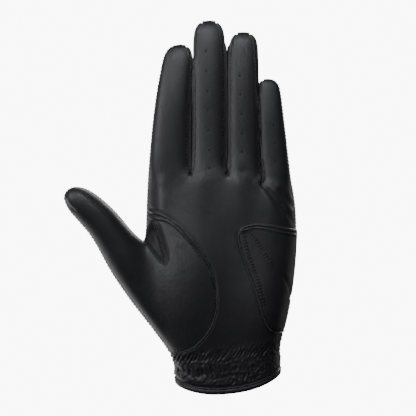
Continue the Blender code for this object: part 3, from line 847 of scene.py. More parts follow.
# ---- making objects
def new_object(name, points, faces, materials, zone, nodes=(), slot="palm_panel", normals=None, second=None):
    """A smooth-shaded piece from millimetres. second marks the faces that take the second material."""
    mesh = bpy.data.meshes.new(name)
    mesh.from_pydata((np.asarray(points) * MM).tolist(), [], faces)
    mesh.shade_smooth()
    for material in materials:
        mesh.materials.append(material)
    if second is not None:
        mesh.polygons.foreach_set("material_index", np.asarray(second, dtype=np.int32))
    if normals is not None:
        mesh.normals_split_custom_set(normals)
    else:
        mesh.set_sharp_from_angle(angle=math.radians(46))
    obj = add_object(name, mesh)
    attach(obj, zone)
    if nodes:
        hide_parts(*nodes)
    nodes[0] if nodes else slot
    return obj


def face_outwards(obj):
    mesh = bmesh.new()
    mesh.from_mesh(obj.data)
    bmesh.ops.recalc_face_normals(mesh, faces=mesh.faces)
    mesh.to_mesh(obj.data)
    mesh.free()


def panel(name, patch, zone, nodes, look=LEATHER_LOOK):
    """A leather panel as thick as the leather, that keeps the whole skin's normals, with a suede inside."""
    count, sheet = len(patch.points), len(patch.faces)
    points = np.vstack([patch.points, patch.points - patch.normals * LEATHER])
    faces = closed(patch.faces, count)
    both = np.vstack([patch.normals, -patch.normals]).tolist()
    normals = [both[k] for face in faces[: 2 * sheet] for k in face]
    for b, a, under, _ in faces[2 * sheet :]:
        across = np.cross(points[a] - points[b], points[under] - points[a])
        normals += [(across / max(np.linalg.norm(across), 1e-9)).tolist()] * 4
    second = np.repeat((0, 1, 0), (sheet, sheet, len(faces) - 2 * sheet))
    new_object(name, points, faces, [look, SUEDE_LOOK], zone, nodes, normals=normals, second=second)


def overlay(name, patch, base, height, look, zone="hand", nodes=(), edge=0.15, reach=0.45, profile=None):
    """A layer sewn on the skin, with a softly rounded edge. base and height are its two faces' heights."""
    top = height - edge * (1 - np.minimum(patch.depth / reach, 1)) ** 2
    if profile:
        top = top + profile(patch)
    points = np.vstack([patch.points + patch.normals * np.reshape(level, (-1, 1)) for level in (top, base)])
    new_object(name, points, closed(patch.faces, len(patch.points)), [look], zone, nodes)
    return BVHTree.FromPolygons(points[: len(patch.points)].tolist(), patch.faces)


def smooth_normals(hits):
    """The skin's shared normals at places that rays found on it."""
    normals = []
    for place, _, quad, _ in hits:
        corners = skin.quads[quad]
        weights = 1 / (sizes(skin.points[corners] - np.array(place)) + 1e-3)
        normals.append(weights @ skin.normals[corners])
    return unit(np.array(normals))


RIBBON_STEP, RIBBON_SUNK = 0.45, 0.2


def ribbon(name, first, second, section, nodes=(), slot="palm_panel", fade=0.0, narrow=2.4):
    """A band sewn on the palm between two lines of the x-z plane: its surface and its two edges.

    section gives its height from the first line to the second, and fade is the length over which it sinks
    away at its end. It lies flatter where it is narrower than narrow.
    """
    runs = [Run(curve(line, 12)) for line in (first, second)]
    along, across = int(round(runs[0].length / RIBBON_STEP)), len(section)
    edges = [run.at(np.linspace(0, run.length, along)) for run in runs]
    spots = between(edges[0][:, None], edges[1][:, None], np.linspace(0, 1, across)[None, :, None])
    hits = []
    for x, z in spots.reshape(-1, 2):
        hit = skin_tree.ray_cast(Vector((x, PALM_SIDE, z)), Vector((0, 1, 0)))
        hits.append(hit if hit[0] else skin_tree.find_nearest(Vector((x, 0, z))))
    places, normals = np.array([hit[0] for hit in hits]), smooth_normals(hits)
    left = np.arange(along)[::-1] * RIBBON_STEP
    sink = (smooth(left / fade) if fade else 1) * np.minimum(sizes(edges[0] - edges[1]) / narrow, 1)
    top = places + normals * np.outer(sink, section).reshape(-1, 1)
    grid = np.arange(along * across).reshape(along, across)
    faces = np.stack([grid[:-1, :-1], grid[1:, :-1], grid[1:, 1:], grid[:-1, 1:]], 2).reshape(-1, 4).tolist()
    points = np.vstack([top, places - normals * RIBBON_SUNK])
    # The band takes the lighter seam leather, a painted highlight along it.
    face_outwards(new_object(name, points, closed(faces, len(top)), [SEAM_HIGHLIGHT_LOOK], "hand", nodes, slot))
    return BVHTree.FromPolygons(top.tolist(), faces), edges


def tube(start, rings, sides):
    """The quads of a tube of rings whose points are numbered from start."""
    faces = []
    for a in range(start, start + (rings - 1) * sides, sides):
        b = a + sides
        for s in range(sides):
            t = (s + 1) % sides
            faces.append([a + s, a + t, b + t, b + s])
    return faces


def sweep(name, path, ups, outs, profile, nodes):
    """A bound edge whose section is given along two directions at each point of its path."""
    rings, sides = len(path), len(profile)
    points = np.array([p + u * up + v * out for p, up, out in zip(path, ups, outs) for u, v in profile])
    ends = [list(reversed(range(sides))), list(range((rings - 1) * sides, rings * sides))]
    faces = [*tube(0, rings, sides), *ends]
    face_outwards(new_object(name, points, faces, [BINDING_LOOK], "hand", nodes))
    return BVHTree.FromPolygons(points.tolist(), faces)


# ---- stitches and holes
def on_surface(tree, line, from_y):
    """Points of a line of the x-z plane dropped onto a surface along y."""
    way = Vector((0, -1 if from_y > 0 else 1, 0))
    hits = [tree.ray_cast(Vector((x, from_y, z)), way)[0] for x, z in line]
    return np.array([hit for hit in hits if hit is not None])


def turns(sides):
    return [2 * math.pi * s / sides for s in range(sides)]


STITCH_RINGS, STITCH_SIDES = 5, 6


def stitches(name, tree, line, pitch=2.2, length=1.5, radius=0.26, lift=0.12, turn=6.0, zone=None, seed=1,
             look=THREAD_LOOK):
    """A row of stitches along a line on a surface, each an arch of thread with its ends in the leather."""
    points, ways = resampled(line, pitch)
    chance = random.Random(seed)
    found = zones_of(points) if zone is None else [zone] * len(points)
    groups = {}
    for point, way, there in zip(points, ways, found):
        place, normal, _, _ = tree.find_nearest(Vector(point))
        way = Vector(way)
        way = (way - normal * way.dot(normal)).normalized()
        angle = math.radians(turn + chance.uniform(-2.5, 2.5))
        way = way * math.cos(angle) + normal.cross(way) * math.sin(angle)
        across = normal.cross(way)
        half = length / 2 * chance.uniform(0.93, 1.05)
        verts, faces = groups.setdefault(str(there), ([], []))
        start = len(verts)
        for u in np.linspace(-1, 1, STITCH_RINGS).tolist():
            height = lift + radius * 0.2 - (lift + radius * 1.3) * abs(u) ** 2.6
            width = radius * (1 - 0.45 * abs(u) ** 3)
            centre = place + way * (half * u) + normal * height
            for phi in turns(STITCH_SIDES):
                side = across * (width * math.cos(phi))
                verts.append(centre + side + normal * (width * 0.8 * math.sin(phi)))
        faces += [[a, d, c, b] for a, b, c, d in tube(start, STITCH_RINGS, STITCH_SIDES)]
        faces.append(list(range(start, start + STITCH_SIDES)))
        faces.append(list(reversed(range(len(verts) - STITCH_SIDES, len(verts)))))
    for there, (verts, faces) in groups.items():
        full = name if zone is not None or len(groups) == 1 else f"{name}_{there}"
        new_object(full, np.array(verts), faces, [look], there)


def sewn(name, tree, line, from_y=PALM_SIDE, zone="hand", **thread):
    """Stitches along a line of the x-z plane, dropped onto a surface from the palm's side or the back's."""
    stitches(name, tree, on_surface(tree, line, from_y), zone=zone, **thread)


HOLES = {
    "middle": (
        (-13.2, 199.2), (-13, 187.2), (-12.6, 174.9), (-12.2, 163.8), (-12, 151.8), (-11.4, 139.8),
        (-11.2, 129),
    ),
    "ring": ((7.0, 184.4), (7.4, 173.1), (7.8, 161.6), (8.0, 149.7), (8.2, 138.9)),
    "little": ((27.3, 154.8), (27.8, 144.0), (28.2, 133.2)),
}
HOLE_RINGS = ((1.15, -0.05), (0.95, 0.10), (0.72, 0.13), (0.6, 0.03))  # reach and height of each
HOLE_SIDES, HOLE_ASPECT = 14, (0.85, 1.15)


def air_holes():
    """Small punched holes down the fingers: a pressed rim round a near-black disc, painted shade for the
    hole's dark inside.
    """
    groups = {}
    for spots in HOLES.values():
        places = on_surface(skin_tree, spots, PALM_SIDE)
        for place, there in zip(places, zones_of(places)):
            verts, faces, marks = groups.setdefault(str(there), ([], [], []))
            start = len(verts)
            for reach, height in HOLE_RINGS:
                for phi in turns(HOLE_SIDES):
                    x, z = reach * HOLE_ASPECT[0] * math.cos(phi), reach * HOLE_ASPECT[1] * math.sin(phi)
                    near, normal, _, _ = skin_tree.find_nearest(Vector(place) + Vector((x, 0, z)))
                    verts.append(near + normal * height)
            faces += tube(start, len(HOLE_RINGS), HOLE_SIDES)
            # A cap over the well, which takes the near-black painted shade.
            faces.append(list(range(len(verts) - HOLE_SIDES, len(verts))))
            marks += [0] * (2 * HOLE_SIDES) + [1] * (HOLE_SIDES + 1)
    looks = [LEATHER_LOOK, HOLE_SHADE_LOOK]
    for there, (verts, faces, marks) in groups.items():
        new_object(f"air_holes_{there}", np.array(verts), faces, looks, there, second=marks)


# ---- sculpting the skin
TOUCH = 0.05
CREASES = (  # the line in x and z on the palm, depth, width
    (((19.8, 120.5), (25.2, 114.6), (31.8, 107.4), (39.0, 96.6)), 0.4, 1.2),
    (((24.0, 115.5), (28.0, 109.0), (32.5, 101.5)), 0.25, 1.1),
    (((31.2, 115.8), (35.0, 111.0), (39.4, 105.6)), 0.35, 1.2),
    (((9.2, 126.0), (18.0, 118.5), (31.2, 106.8)), 0.45, 3.2),
    (((-97.0, 109.4), (-94.8, 106.0), (-91.6, 103.4)), 0.35, 0.8),
)
# Soft ridges that run down from the fingers: x, width, height, and where each ends.
KNUCKLES = ((-39.5, 4.6, 1, 128), (-17.4, 6.5, 0.7, 128), (7.2, 6.5, 0.75, 128), (27.5, 6.5, 0.7, 124))
GUSSET_POCKET = 2.6
# Lines pressed beside a sewn layer: the line, depth, distance from the line, width, the height it starts at.
PRESSED = ((STRIP_OUTER, 0.45, 0.3, 0.6, 52), (HEEL_EDGE, 0.4, 0.4, 0.7, 0))
UNEVEN = ((0.16, 18.0, 3.1), (0.05, 6.0, 8.7))  # the leather's unevenness: height, size, seed
SEAM_GROOVE, SEAM_LIP = (0.5, 0.45), (0.22, 1.0, 0.55)  # depth and width; height, distance and width
# Shirring of each row: reach above it, slant of the pleats, their width.
PLEATS = ((3.4, 0.7, 2.4), (2.6, -0.3, 2.8))
PLEAT_BELOW, PLEAT_DEEP, PLEAT_SHALLOW = 2.6, 1.7, 0.6


def touching():
    """Lets the side walls of neighbouring fingers bulge until they meet."""
    x, _, z = skin.points.T
    places = [finger_place(name, z) for name in FINGERS]
    tips = [finger[1] for finger in FINGERS.values()]
    for number, ((_, fork_z), wall) in enumerate(zip(FORKS, walls(z))):
        (left, _, left_half), (right, _, right_half) = places[number : number + 2]
        lower_tip = min(tips[number : number + 2])
        there = smooth((z - fork_z) / 1.6) * (1 - smooth((z - lower_tip + 13) / 8))
        for side, middle, half in ((1, left, left_half), (-1, right, right_half)):
            short = side * (wall - x)
            share = there * smooth((side * (x - middle) / half - 0.84) / 0.16) * (short > -1.5)
            mine = (short < half) & (np.abs(x) < FAR_OUT)
            skin.points[:, 0] += np.where(mine, side * share * (short + TOUCH), 0)
        near_fork = bump(x - wall, 3.4) * bump(z - fork_z - 0.6, 2.6)
        skin.points[:, 0] += 0.55 * near_fork * (wall - x)
    skin.find_normals()


def fold():
    """Soft leather's unevenness, ridges, creases, the gusset's pocket and lines beside sewn layers."""
    x, y, z = skin.rest.T
    front, flat = smooth((1 - y) / 7), skin.rest[:, [0, 2]]
    amount = sum(tall * noise_at(skin.rest, size, seed) for tall, size, seed in UNEVEN)
    amount *= 1 - 0.5 * smooth((z - 125) / 10)
    for ridge_x, wide, tall, end in KNUCKLES:
        along = smooth((z - 84) / 30) * (1 - smooth((z - end + 9) / 9))
        amount += tall * (bump(x - ridge_x, wide) - 0.15) * front * along
    for line, deep, wide in CREASES:
        d = curve_distance(flat, line)
        amount += front * deep * (0.45 * bump(d - 2.1 * wide, 1.3 * wide) - bump(d, wide))
    inside = smooth(-outline_distance(flat, GUSSET_LINE) / 2.4)
    to_right, to_top = (curve_distance(flat, line) for line in (GUSSET[1:7], STRIP_INNER[:3]))
    amount -= GUSSET_POCKET * front * smooth(to_right / 5.5) * inside * smooth(to_top / 7)
    for line, deep, away, wide, start in PRESSED:
        amount -= deep * front * bump(curve_distance(flat, line) - away, wide) * smooth((z - start) / 12)
    wrinkled = bump(x + 31, 7) * bump(z - 84, 6) * front
    amount += 0.25 * wrinkled * noise_at(np.column_stack([x * 0.35, y * 0.5, z + 0.45 * x]), 1.7, 5.0)
    skin.push(amount)


def shirr():
    """Two pinched rows of slanting pleats, and crumpled, puffed leather around them."""
    x, y, z = skin.rest.T
    amount = np.zeros(len(x))
    wander = noise_at(skin.rest / (12, 12, 18), 1.0, 2.0)
    uneven = noise_at(skin.rest / (3.5, 3.5, 6), 1.0, 9.0)
    strong = between(PLEAT_DEEP, PLEAT_SHALLOW, smooth((x + 30) / 45))
    taller = 0.05 * (x - ROW_LEFT)
    for number, (row, (above, slant, wide)) in enumerate(zip(ROWS, PLEATS)):
        v = z - row_height(x, row)
        tall = np.where(v > 0, above + (0 if number else taller), PLEAT_BELOW)
        phase = math.pi * (x - slant * v) / wide + 2.2 * wander + 0.7 * uneven + number
        valley = bump(np.sin(phase), 0.5)
        amount += -0.2 * bump(v, 1.2) + bump(v, tall) * (0.3 - strong * valley * (0.85 + 0.9 * uneven))
    foot, top = cuff_edge(x) + 3.0, row_height(x, ROWS[0]) + 8.0 + taller
    v = z - (row_height(x, ROWS[0]) + row_height(x, ROWS[1])) / 2
    puffs = 0.5 - np.abs(noise_at(skin.rest * (1, 1, 1.2), 2.2, 4.0))
    crumple = noise_at(np.column_stack([x - 0.5 * v, y, 0.5 * z]), 1.15, 6.0)
    amount += 0.35 * bump(v + 2, 7.5) + 0.8 * (puffs - 0.2) + 0.3 * crumple
    amount += 0.6 * bump(z - foot - 3.4, 2.4) * (1 - smooth((x + 20) / 40))
    skin.push(smooth((6 - y) / 8) * amount * smooth((z - foot) / 2.5) * smooth((top - z) / 6.0))


def press_seams(shaped, seam_ids):
    """A groove with a raised lip on either side along every seam, and a hollow round every air hole."""
    x, y, z = skin.rest.T
    front, flat = smooth((1 - y) / 7), skin.rest[:, [0, 2]]
    tree = KDTree(len(seam_ids))
    for k in seam_ids:
        tree.insert(shaped[k], k)
    tree.balance()
    d = np.array([tree.find(place)[2] for place in shaped])
    calm = 1 - 0.85 * sum(bump(np.hypot(x - fork_x, z - fork_z), 5.0) for fork_x, fork_z in FORKS)
    (deep, wide), (tall, away, lip_wide) = SEAM_GROOVE, SEAM_LIP
    amount = (tall * bump(d - away, lip_wide) - deep * bump(d, wide)) * calm
    level = thumb_level(skin.rest)
    groove, lip = bump(np.abs(level) - 0.35, 0.5), bump(np.abs(level) - 1.2, 0.5)
    amount += (x > -49.0) * (np.where(level < 0, 0.15, 0.2) * lip - 0.5 * groove)
    for spots in HOLES.values():
        for spot in spots:
            amount -= 0.2 * front * bump(sizes(flat - spot), 1.1)
    skin.push(amount)


def is_wall(name):
    return name.startswith("fork") or name.endswith("side")


def is_face(side):
    """A test for the names of the pieces on this face of the hand and the fingers."""
    return lambda name: name == side or (name.endswith(side) and not name.startswith("thumb"))


skin = Skin(glove_cage())
SEAM_ROWS = {
    "palm": skin.seam_chains(is_face("palm"), is_wall),
    "back": skin.seam_chains(is_face("back"), is_wall),
    "side": skin.seam_chains(is_face("palm"), is_face("back")),
    "thumb": skin.seam_chains(lambda n: n.startswith("thumb_palm"), lambda n: n.startswith("thumb_back")),
}
touching()
shaped = skin.points.copy()
fold()
shirr()
press_seams(shaped, sorted({k for rows in SEAM_ROWS.values() for row in rows for k in row}))
skin_tree = BVHTree.FromPolygons(skin.points.tolist(), skin.quads.tolist())


# ---- the leather panels
def leather_panels():
    """Each piece of leather, one object for each stretch that moves alike."""
    centres = skin.rest[skin.quads].mean(1)
    zone = zones_of(centres)
    piece = np.array(skin.names)[skin.piece]
    for finger, middle_z in MIDDLES.items():
        mine = np.char.startswith(piece, f"{finger}_")
        zone[mine] = np.where(centres[mine][:, 2] > middle_z, f"{finger}_tip", f"{finger}_root")
    on_wall = np.array([is_wall(name) for name in skin.names])[skin.piece]
    on_palm = ~on_wall & (np.char.find(piece, "back") < 0)
    on_back = ~on_wall & ~on_palm
    in_hand = zone == "hand"
    beside_thumb = (thumb_level(centres) < 0) & np.isin(piece, ["palm", "back"])
    thumb = np.char.startswith(piece, "thumb") | beside_thumb
    open_slit = [lambda p: -slit_level(p)]
    panel("palm_leather", whole_quads(in_hand & on_palm & ~thumb), "hand", ["palm_panel"])
    panel("back_leather", cut_patch(open_slit, in_hand & on_back & ~thumb), "hand", ["back_panel"])
    panel("thumb_palm_leather_base", whole_quads(in_hand & on_palm & thumb), "hand", ["thumb_palm_base"])
    panel("thumb_back_leather_base", whole_quads(in_hand & on_back & thumb), "hand", ["thumb_back_base"])
    for fork in ("fork_0", "fork_1", "fork_2"):
        panel(f"{fork}_leather", whole_quads(in_hand & (piece == fork)), "hand", [fork], SIDE_LOOK)
    for stretch, part in (("root", "lower"), ("tip", "upper")):
        moving = {"thumb": {"palm": on_palm, "back": on_back}}
        for number, finger in enumerate(FINGERS):
            moving[finger] = {"palm": on_palm, "back": on_back}
            middle = finger_place(finger, centres[:, 2])[0]
            if number > 0:
                moving[finger]["thumb_side"] = on_wall & (centres[:, 0] < middle)
            if number < 3:
                moving[finger]["far_side"] = on_wall & (centres[:, 0] > middle)
        for digit, sides in moving.items():
            for side, there in sides.items():
                patch = whole_quads((zone == f"{digit}_{stretch}") & there)
                look = SIDE_LOOK if side.endswith("side") else LEATHER_LOOK
                name, node = f"{digit}_{side}_leather_{part}", f"{digit}_{side}_{part}"
                panel(name, patch, f"{digit}_{stretch}", [node], look)


leather_panels()


# ---- the layers sewn on the palm
PIPING_SECTION = (0.2, 1.0, 1.4, 1.5, 1.4, 1.0, 0.4)
WELT_SECTION = (0.0, 0.42, 0.6, 0.66, 0.6, 0.42, 0.0)
STRIP_SECTION = (0.15, 0.6, 0.8, 0.84, 0.8, 0.62, 0.3, 0.3, 0.62, 0.8, 0.84, 0.8, 0.6, 0.15)
HEEL_TOP_SECTION = (0.6, 1.05, 1.25, 1.3, 1.25, 1.05, 0.75, 0.75, 1.05, 1.25, 1.3, 1.25, 1.05, 0.6)
# Lines pressed in the heel patch: the line, depth, distance from the line, width.
HEEL_PRESSED = (
    (HEEL_EDGE, 0.22, 1.1, 0.5),
    (HEEL_SEAM, 0.75, 0, 0.6),
    (HEEL_BARS, 0.25, 0, 1.5),
    (HEEL_FAN, 0.2, 0, 1.3),
)
CORD_WIDTH = 0.9
UNDER = -0.15  # the height of a sewn layer's underside, just in the skin
SEAM_LOW, WELT_HIGH, SEAM_HIGH = 17.0, 64.0, 60.0  # how far up the thumb's seam its welt and stitches run


def gusset_fold(patch):
    """A soft ridge along the gusset's inner line, with a groove on either side."""
    d = curve_distance(patch.points[:, [0, 2]], GUSSET_FOLD, 5)
    return 0.75 * bump(d, 0.8) - 0.35 * bump(d - 1.7, 0.6)


def heel_relief(patch):
    """The heel patch's raised corner, the lines pressed in it and the hollows under its thread bars."""
    flat = patch.points[:, [0, 2]]
    raised = 0.7 * bump(sizes(flat - HEEL_CORNER), 1.5)
    for line, deep, away, wide in HEEL_PRESSED:
        raised -= deep * bump(curve_distance(flat, line, 5) - away, wide)
    return raised


def cord(name, line, left, right, section, **options):
    """A thin raised cord along a line of the palm, between these distances to its left and right."""
    ribbon(name, shifted(line, left)[::8], shifted(line, -right)[::8], section, narrow=CORD_WIDTH, **options)


strip_tree, strip_edges = ribbon("seam_strip", STRIP_OUTER, STRIP_INNER, STRIP_SECTION, ["thumb_seam_strip"],
                                 fade=16.0)
gusset = cut_patch([within(GUSSET_LINE), within(STRIP_INSIDE), in_front(2.0)])
# The gusset takes the darker leather, painted shade in its recess.
gusset_tree = overlay("gusset", gusset, UNDER, 0.45, GUSSET_SHADE_LOOK, nodes=["thumb_gusset"], profile=gusset_fold)
heel = cut_patch([within(HEEL), in_front(-HEEL_BEHIND)])
heel_tree = overlay("heel_leather", heel, UNDER, 0.75, PATCH_LOOK, nodes=["heel_patch"], edge=0.3, reach=0.8,
                    profile=heel_relief)
cord("heel_piping", HEEL_EDGE, 0.45, 0.45, PIPING_SECTION, slot="heel_patch")
welt = [place for place in reversed(THUMB_SEAM_PALM) if SEAM_LOW < place[1] < WELT_HIGH]
cord("thumb_seam_welt", welt, 0.5, 0.4, WELT_SECTION, fade=10.0)
top_tree, top_edges = ribbon("heel_top_strip", HEEL_TOP, HEEL_TOP_LOW, HEEL_TOP_SECTION, slot="heel_patch")

# ---- the cuff, the slit and the elastic
# Sections of the bound edges: along the leather from its edge, and out of it.
BINDING_SECTION = (
    (3.5, 0.0), (3.4, 0.5), (3.1, 0.72), (2.7, 0.7), (2.3, 0.4), (1.9, 0.62), (1.2, 0.8), (0.2, 0.72),
    (-0.45, 0.2), (-0.6, -0.4), (-0.45, -1.0), (0.2, -1.4), (1.6, -1.45), (2.8, -1.3), (2.9, -0.9),
)
SLIT_SECTION = (
    (2.9, 0.0), (2.8, 0.42), (2.4, 0.6), (1.2, 0.66), (0.0, 0.58), (-0.5, 0.15), (-0.6, -0.4), (-0.45, -0.95),
    (0.2, -1.3), (1.4, -1.35), (2.4, -1.2), (2.5, -0.9),
)
SLIT_FOOT = 6.4
HEM_THREAD = {"pitch": 2.0, "length": 1.35, "radius": 0.2, "turn": 4.0, "zone": "hand"}


def cuff_hem():
    """The cuff's bound edge, interrupted by the slit: its path, and the ways up the leather and outwards."""
    ends, keys = skin.edges()
    ends = ends.reshape(-1, 2)
    _, first, count = np.unique(keys, return_index=True, return_counts=True)
    onward = dict(ends[first[count == 1]].tolist())
    above = {a: b for a, b in ends.tolist() if a in onward and b not in onward}
    loop = [next(iter(onward))]
    while onward[loop[-1]] != loop[0]:
        loop.append(onward[loop[-1]])
    path = skin.rest[loop]
    ups = unit(skin.rest[[above[k] for k in loop]] - path)
    outs = unit(np.cross(np.roll(path, -1, axis=0) - np.roll(path, 1, axis=0), ups))
    if np.sum(outs[:, :2] * path[:, :2]) < 0:
        outs = -outs
    whole = slit_level(path) > 0.2
    turn = int(np.argmax(whole & ~np.roll(whole, 1)))
    order = [k for k in np.roll(np.arange(len(loop)), -turn) if whole[k]]
    return path[order], ups[order], outs[order]


def slit_hem():
    """The slit's bound edge, up one side, round the end and down the other, given as the cuff's is."""
    heights, angles = np.arange(SLIT_FOOT, SLIT_TOP, 0.8), np.linspace(0, math.pi, 16)
    left = [(SLIT_X - between(SLIT_HALF, SLIT_END, z / SLIT_TOP), z) for z in heights]
    arc = [(SLIT_X - SLIT_END * math.cos(a), SLIT_TOP + SLIT_END * math.sin(a)) for a in angles]
    right = [(2 * SLIT_X - x, z) for x, z in reversed(left)]
    path = on_surface(skin_tree, [*left, *arc, *right], BACK_SIDE)
    outs = np.array([skin_tree.find_nearest(Vector(place))[1] for place in path])
    ups = unit(np.cross(np.gradient(path, axis=0), outs))
    if ups[0][0] * (path[0][0] - SLIT_X) < 0:
        ups = -ups
    return path, ups, outs


cuff = cuff_hem()
hem_tree = sweep("cuff_hem", *cuff, BINDING_SECTION, ["cuff_binding"])
slit = slit_hem()
slit_tree = sweep("slit_hem", *slit, SLIT_SECTION, ["slit_binding"])
for name, row, half in (("upper", ROWS[0], 2.6), ("lower", ROWS[1], 2.2)):
    tape = cut_patch([near_row(row, half), in_front(5.0)])
    overlay(f"elastic_tape_{name}", tape, -2.0, -1.1, ELASTIC_LOOK, nodes=[f"wrist_elastic_{name}"])

# ---- the closure on the back
TAB_THREAD = {"pitch": 2.1, "length": 1.4, "radius": 0.22, "lift": 0.08, "turn": 4.0, "zone": "tab"}
loops = cut_patch([rounded_box(13.8, 27.0, 15.0, 37.0, 3.0)])
overlay("loop_field", loops, 0.05, 1.0, LOOP_LOOK, nodes=["loop_pad"])
hooks = cut_patch([rounded_box(14.4, 23.8, 16.5, 35.5, 4.0)])
overlay("hook_field", hooks, 1.3, 2.25, HOOK_LOOK, "flap", ["hook_pad"])
tab = cut_patch([rounded_box(TAB_HINGE_X - TAB_SEWN, TAB_END_X, TAB_LOW, TAB_HIGH, TAB_CORNER)])
rise = 0.3 + 2.0 * smooth((tab.points[:, 0] - TAB_HINGE_X) / 8)
tab_nodes = ["tab_flap", "tab_base"]
tab_tree = overlay("closure_tab_leather", tab, rise, rise + 0.95, LEATHER_LOOK, "tab", tab_nodes)
air_holes()


def tab_outline(inset):
    """The tab's outline, this far inside its edge."""
    left, right = TAB_HINGE_X - TAB_SEWN + inset, TAB_END_X - inset
    low, high, corner = TAB_LOW + inset, TAB_HIGH - inset, TAB_CORNER - inset
    line = []
    for x, z, start in ((right - corner, low + corner, -90), (right - corner, high - corner, 0),
                        (left + corner, high - corner, 90), (left + corner, low + corner, 180)):
        for angle in np.radians(range(start, start + 91, 15)):
            line.append((x + corner * math.cos(angle), z + corner * math.sin(angle)))
    return resampled([*line, line[0]], 0.5)[0]


# ---- stitching
def beside(chain, shift, toward):
    """The line beside a seam of the skin, this far across it on the side that faces a direction."""
    points, normals = skin.points[chain], skin.normals[chain]
    across = unit(np.cross(normals, np.gradient(points, axis=0)))
    across *= np.sign((across @ np.array(toward)).sum())
    return points + across * shift


for kind, towards in (("palm", (-1,)), ("back", (1,)), ("side", (-1, 1)), ("thumb", (-1, 1))):
    for number, chain in enumerate(SEAM_ROWS[kind]):
        for toward in towards:
            name = f"{kind}_stitches_{number}_{'palm' if toward < 0 else 'back'}"
            stitches(name, skin_tree, beside(chain, 1.15, (0, toward, 0)), seed=number)
for name, seam, high, from_y in (("thumb_seam_stitches", THUMB_SEAM_PALM, SEAM_HIGH, PALM_SIDE),
                                 ("thumb_seam_stitches_back", THUMB_SEAM_BACK, 104.0, BACK_SIDE)):
    sewn(name, skin_tree, shifted([place for place in seam if SEAM_LOW < place[1] < high], -1.1), from_y)
for number, share in enumerate((0.25, 0.75)):
    sewn(f"strip_stitches_{number}", strip_tree, between(*strip_edges, share)[:-26], seed=number)
    sewn(f"heel_top_stitches_{number}", top_tree, between(*top_edges, share)[2:-1], seed=number)
sewn("heel_bars", heel_tree, curve(HEEL_BARS), pitch=1.9, length=4.4, radius=0.45, lift=0.24, turn=82.0,
     look=PATCH_LOOK)
sewn("heel_fan_bars", heel_tree, curve(HEEL_FAN), pitch=1.9, length=3.4, radius=0.4, lift=0.2, turn=70.0,
     seed=4, look=PATCH_LOOK)
sewn("gusset_fold_stitches", gusset_tree, curve(GUSSET_FOLD))
sewn("gusset_edge_stitches", skin_tree, curve(GUSSET[2:11]))
for name, tree, (path, ups, outs), inset, lift in (("cuff_hem_stitches", hem_tree, cuff, 2.3, 0.1),
                                                   ("slit_hem_stitches", slit_tree, slit, 1.9, 0.06)):
    stitches(name, tree, (path + ups * inset + outs * 1.5)[3:-3], lift=lift, **HEM_THREAD)
for name, row in (("upper", ROWS[0]), ("lower", ROWS[1])):
    line = [(x, row_height(x, row)) for x in np.arange(-31.0, 30.0, 0.5)]
    sewn(f"elastic_stitches_{name}", skin_tree, line, pitch=1.9, length=1.3, radius=0.2, lift=0.04, turn=4.0,
         look=PATCH_LOOK)
for name, inset in (("outer", 1.6), ("inner", 3.0)):
    sewn(f"tab_stitches_{name}", tab_tree, tab_outline(inset), BACK_SIDE, **TAB_THREAD)
low_x, high_x, low_z, high_z = TAB_HINGE_X - 4.6, TAB_HINGE_X + 0.4, TAB_LOW + 3.4, TAB_HIGH - 3.4
box = [(low_x, low_z), (high_x, low_z), (high_x, high_z), (low_x, high_z), (low_x, low_z)]
sewn("tab_box_stitches", tab_tree, resampled(box, 0.5)[0], BACK_SIDE, **TAB_THREAD)

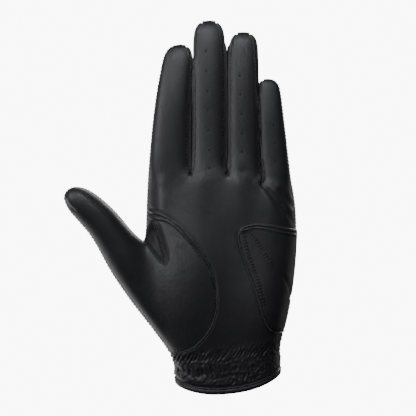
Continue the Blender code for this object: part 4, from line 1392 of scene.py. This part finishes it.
# ---- stage, in metres
VIEW_X, VIEW_Z, VIEW_WIDTH, LENS, SENSOR = -0.012, 0.105, 0.2496, 135.0, 36.0
PALM_Y = -0.010
FLOOR_Z, FLOOR_REACH, FLOOR_RISE, FLOOR_TURNS, FLOOR_STEPS = -0.25, 4.0, 3.5, 64, 24
LIGHTS = (  # name, place, aim, size, power, colour
    ("key", (-0.15, -0.33, 0.46), (-0.02, 0, 0.19), 0.5, 0.9, (0.97, 0.97, 1.0)),
    ("tips", (-0.03, -0.27, 0.365), (-0.02, 0, 0.195), 0.09, 0.5, (0.92, 0.92, 1.0)),
    ("thumb_side", (-0.36, -0.3, 0.24), (-0.08, 0, 0.11), 0.22, 1.0, (1, 1, 1)),
    ("fill", (0.3, -0.9, 0.2), (0, 0, 0.1), 0.9, 0.15, (1, 1, 1)),
    ("rim_left", (-0.6, 0.35, -0.2), (-0.03, 0, 0.05), 0.7, 2.8, (1, 1, 1)),
    ("rim_right", (0.75, 0.3, 0.1), (0.03, 0, 0.08), 0.7, 0.6, (1, 1, 1)),
    ("behind", (0.25, 0.8, 0.6), (0, 0, 0.1), 0.7, 9.0, (1, 1, 1)),
)


def add_camera():
    data = bpy.data.cameras.new("camera")
    data.lens, data.sensor_width = LENS, SENSOR
    data.clip_start, data.clip_end = 0.01, 100.0
    camera = add_object("camera", data)
    camera.location = (VIEW_X, PALM_Y - VIEW_WIDTH * LENS / SENSOR, VIEW_Z)
    camera.rotation_euler = (math.radians(90), 0, 0)
    bpy.context.scene.camera = camera


def add_floor():
    """A pale bowl, flat under the glove and rising round it, that glows evenly and casts no light on it."""
    points = []
    for step in range(1, FLOOR_STEPS + 1):
        share = step / FLOOR_STEPS
        radius = FLOOR_REACH * min(share * 1.6, 1.0)
        height = FLOOR_Z + FLOOR_RISE * max((share - 0.55) / 0.45, 0) ** 1.6
        for angle in turns(FLOOR_TURNS):
            points.append((radius * math.cos(angle), radius * math.sin(angle), height))
    mesh = bpy.data.meshes.new("floor")
    mesh.from_pydata(points, [], [*tube(0, FLOOR_STEPS, FLOOR_TURNS), list(range(FLOOR_TURNS))])
    mesh.shade_smooth()
    floor = add_object("floor", mesh)
    floor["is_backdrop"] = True
    material, tree, shader, _ = new_material("pale_floor")
    set_inputs(tree, shader, {
        "Base Color": (0.8, 0.8, 0.8, 1),
        "Roughness": 0.9,
        "Emission Color": (1, 1, 1, 1),
        "Emission Strength": 9.4,
    })
    mesh.materials.append(material)
    floor.visible_diffuse = floor.visible_glossy = floor.visible_shadow = False


def add_world():
    world = bpy.data.worlds.new("world")
    world.use_nodes = True
    background = world.node_tree.nodes["Background"]
    set_inputs(world.node_tree, background, {"Color": (1, 1, 1, 1), "Strength": 0.03})
    bpy.context.scene.world = world


def add_light(name, place, aim, size, power, colour):
    data = bpy.data.lights.new(name, "AREA")
    data.energy, data.size, data.color = power, size, colour
    light = add_object(name, data)
    light.location = place
    light.rotation_euler = (Vector(aim) - Vector(place)).to_track_quat("-Z", "Y").to_euler()


add_camera()
add_floor()
add_world()
for light in LIGHTS:
    add_light(*light)

low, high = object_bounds()
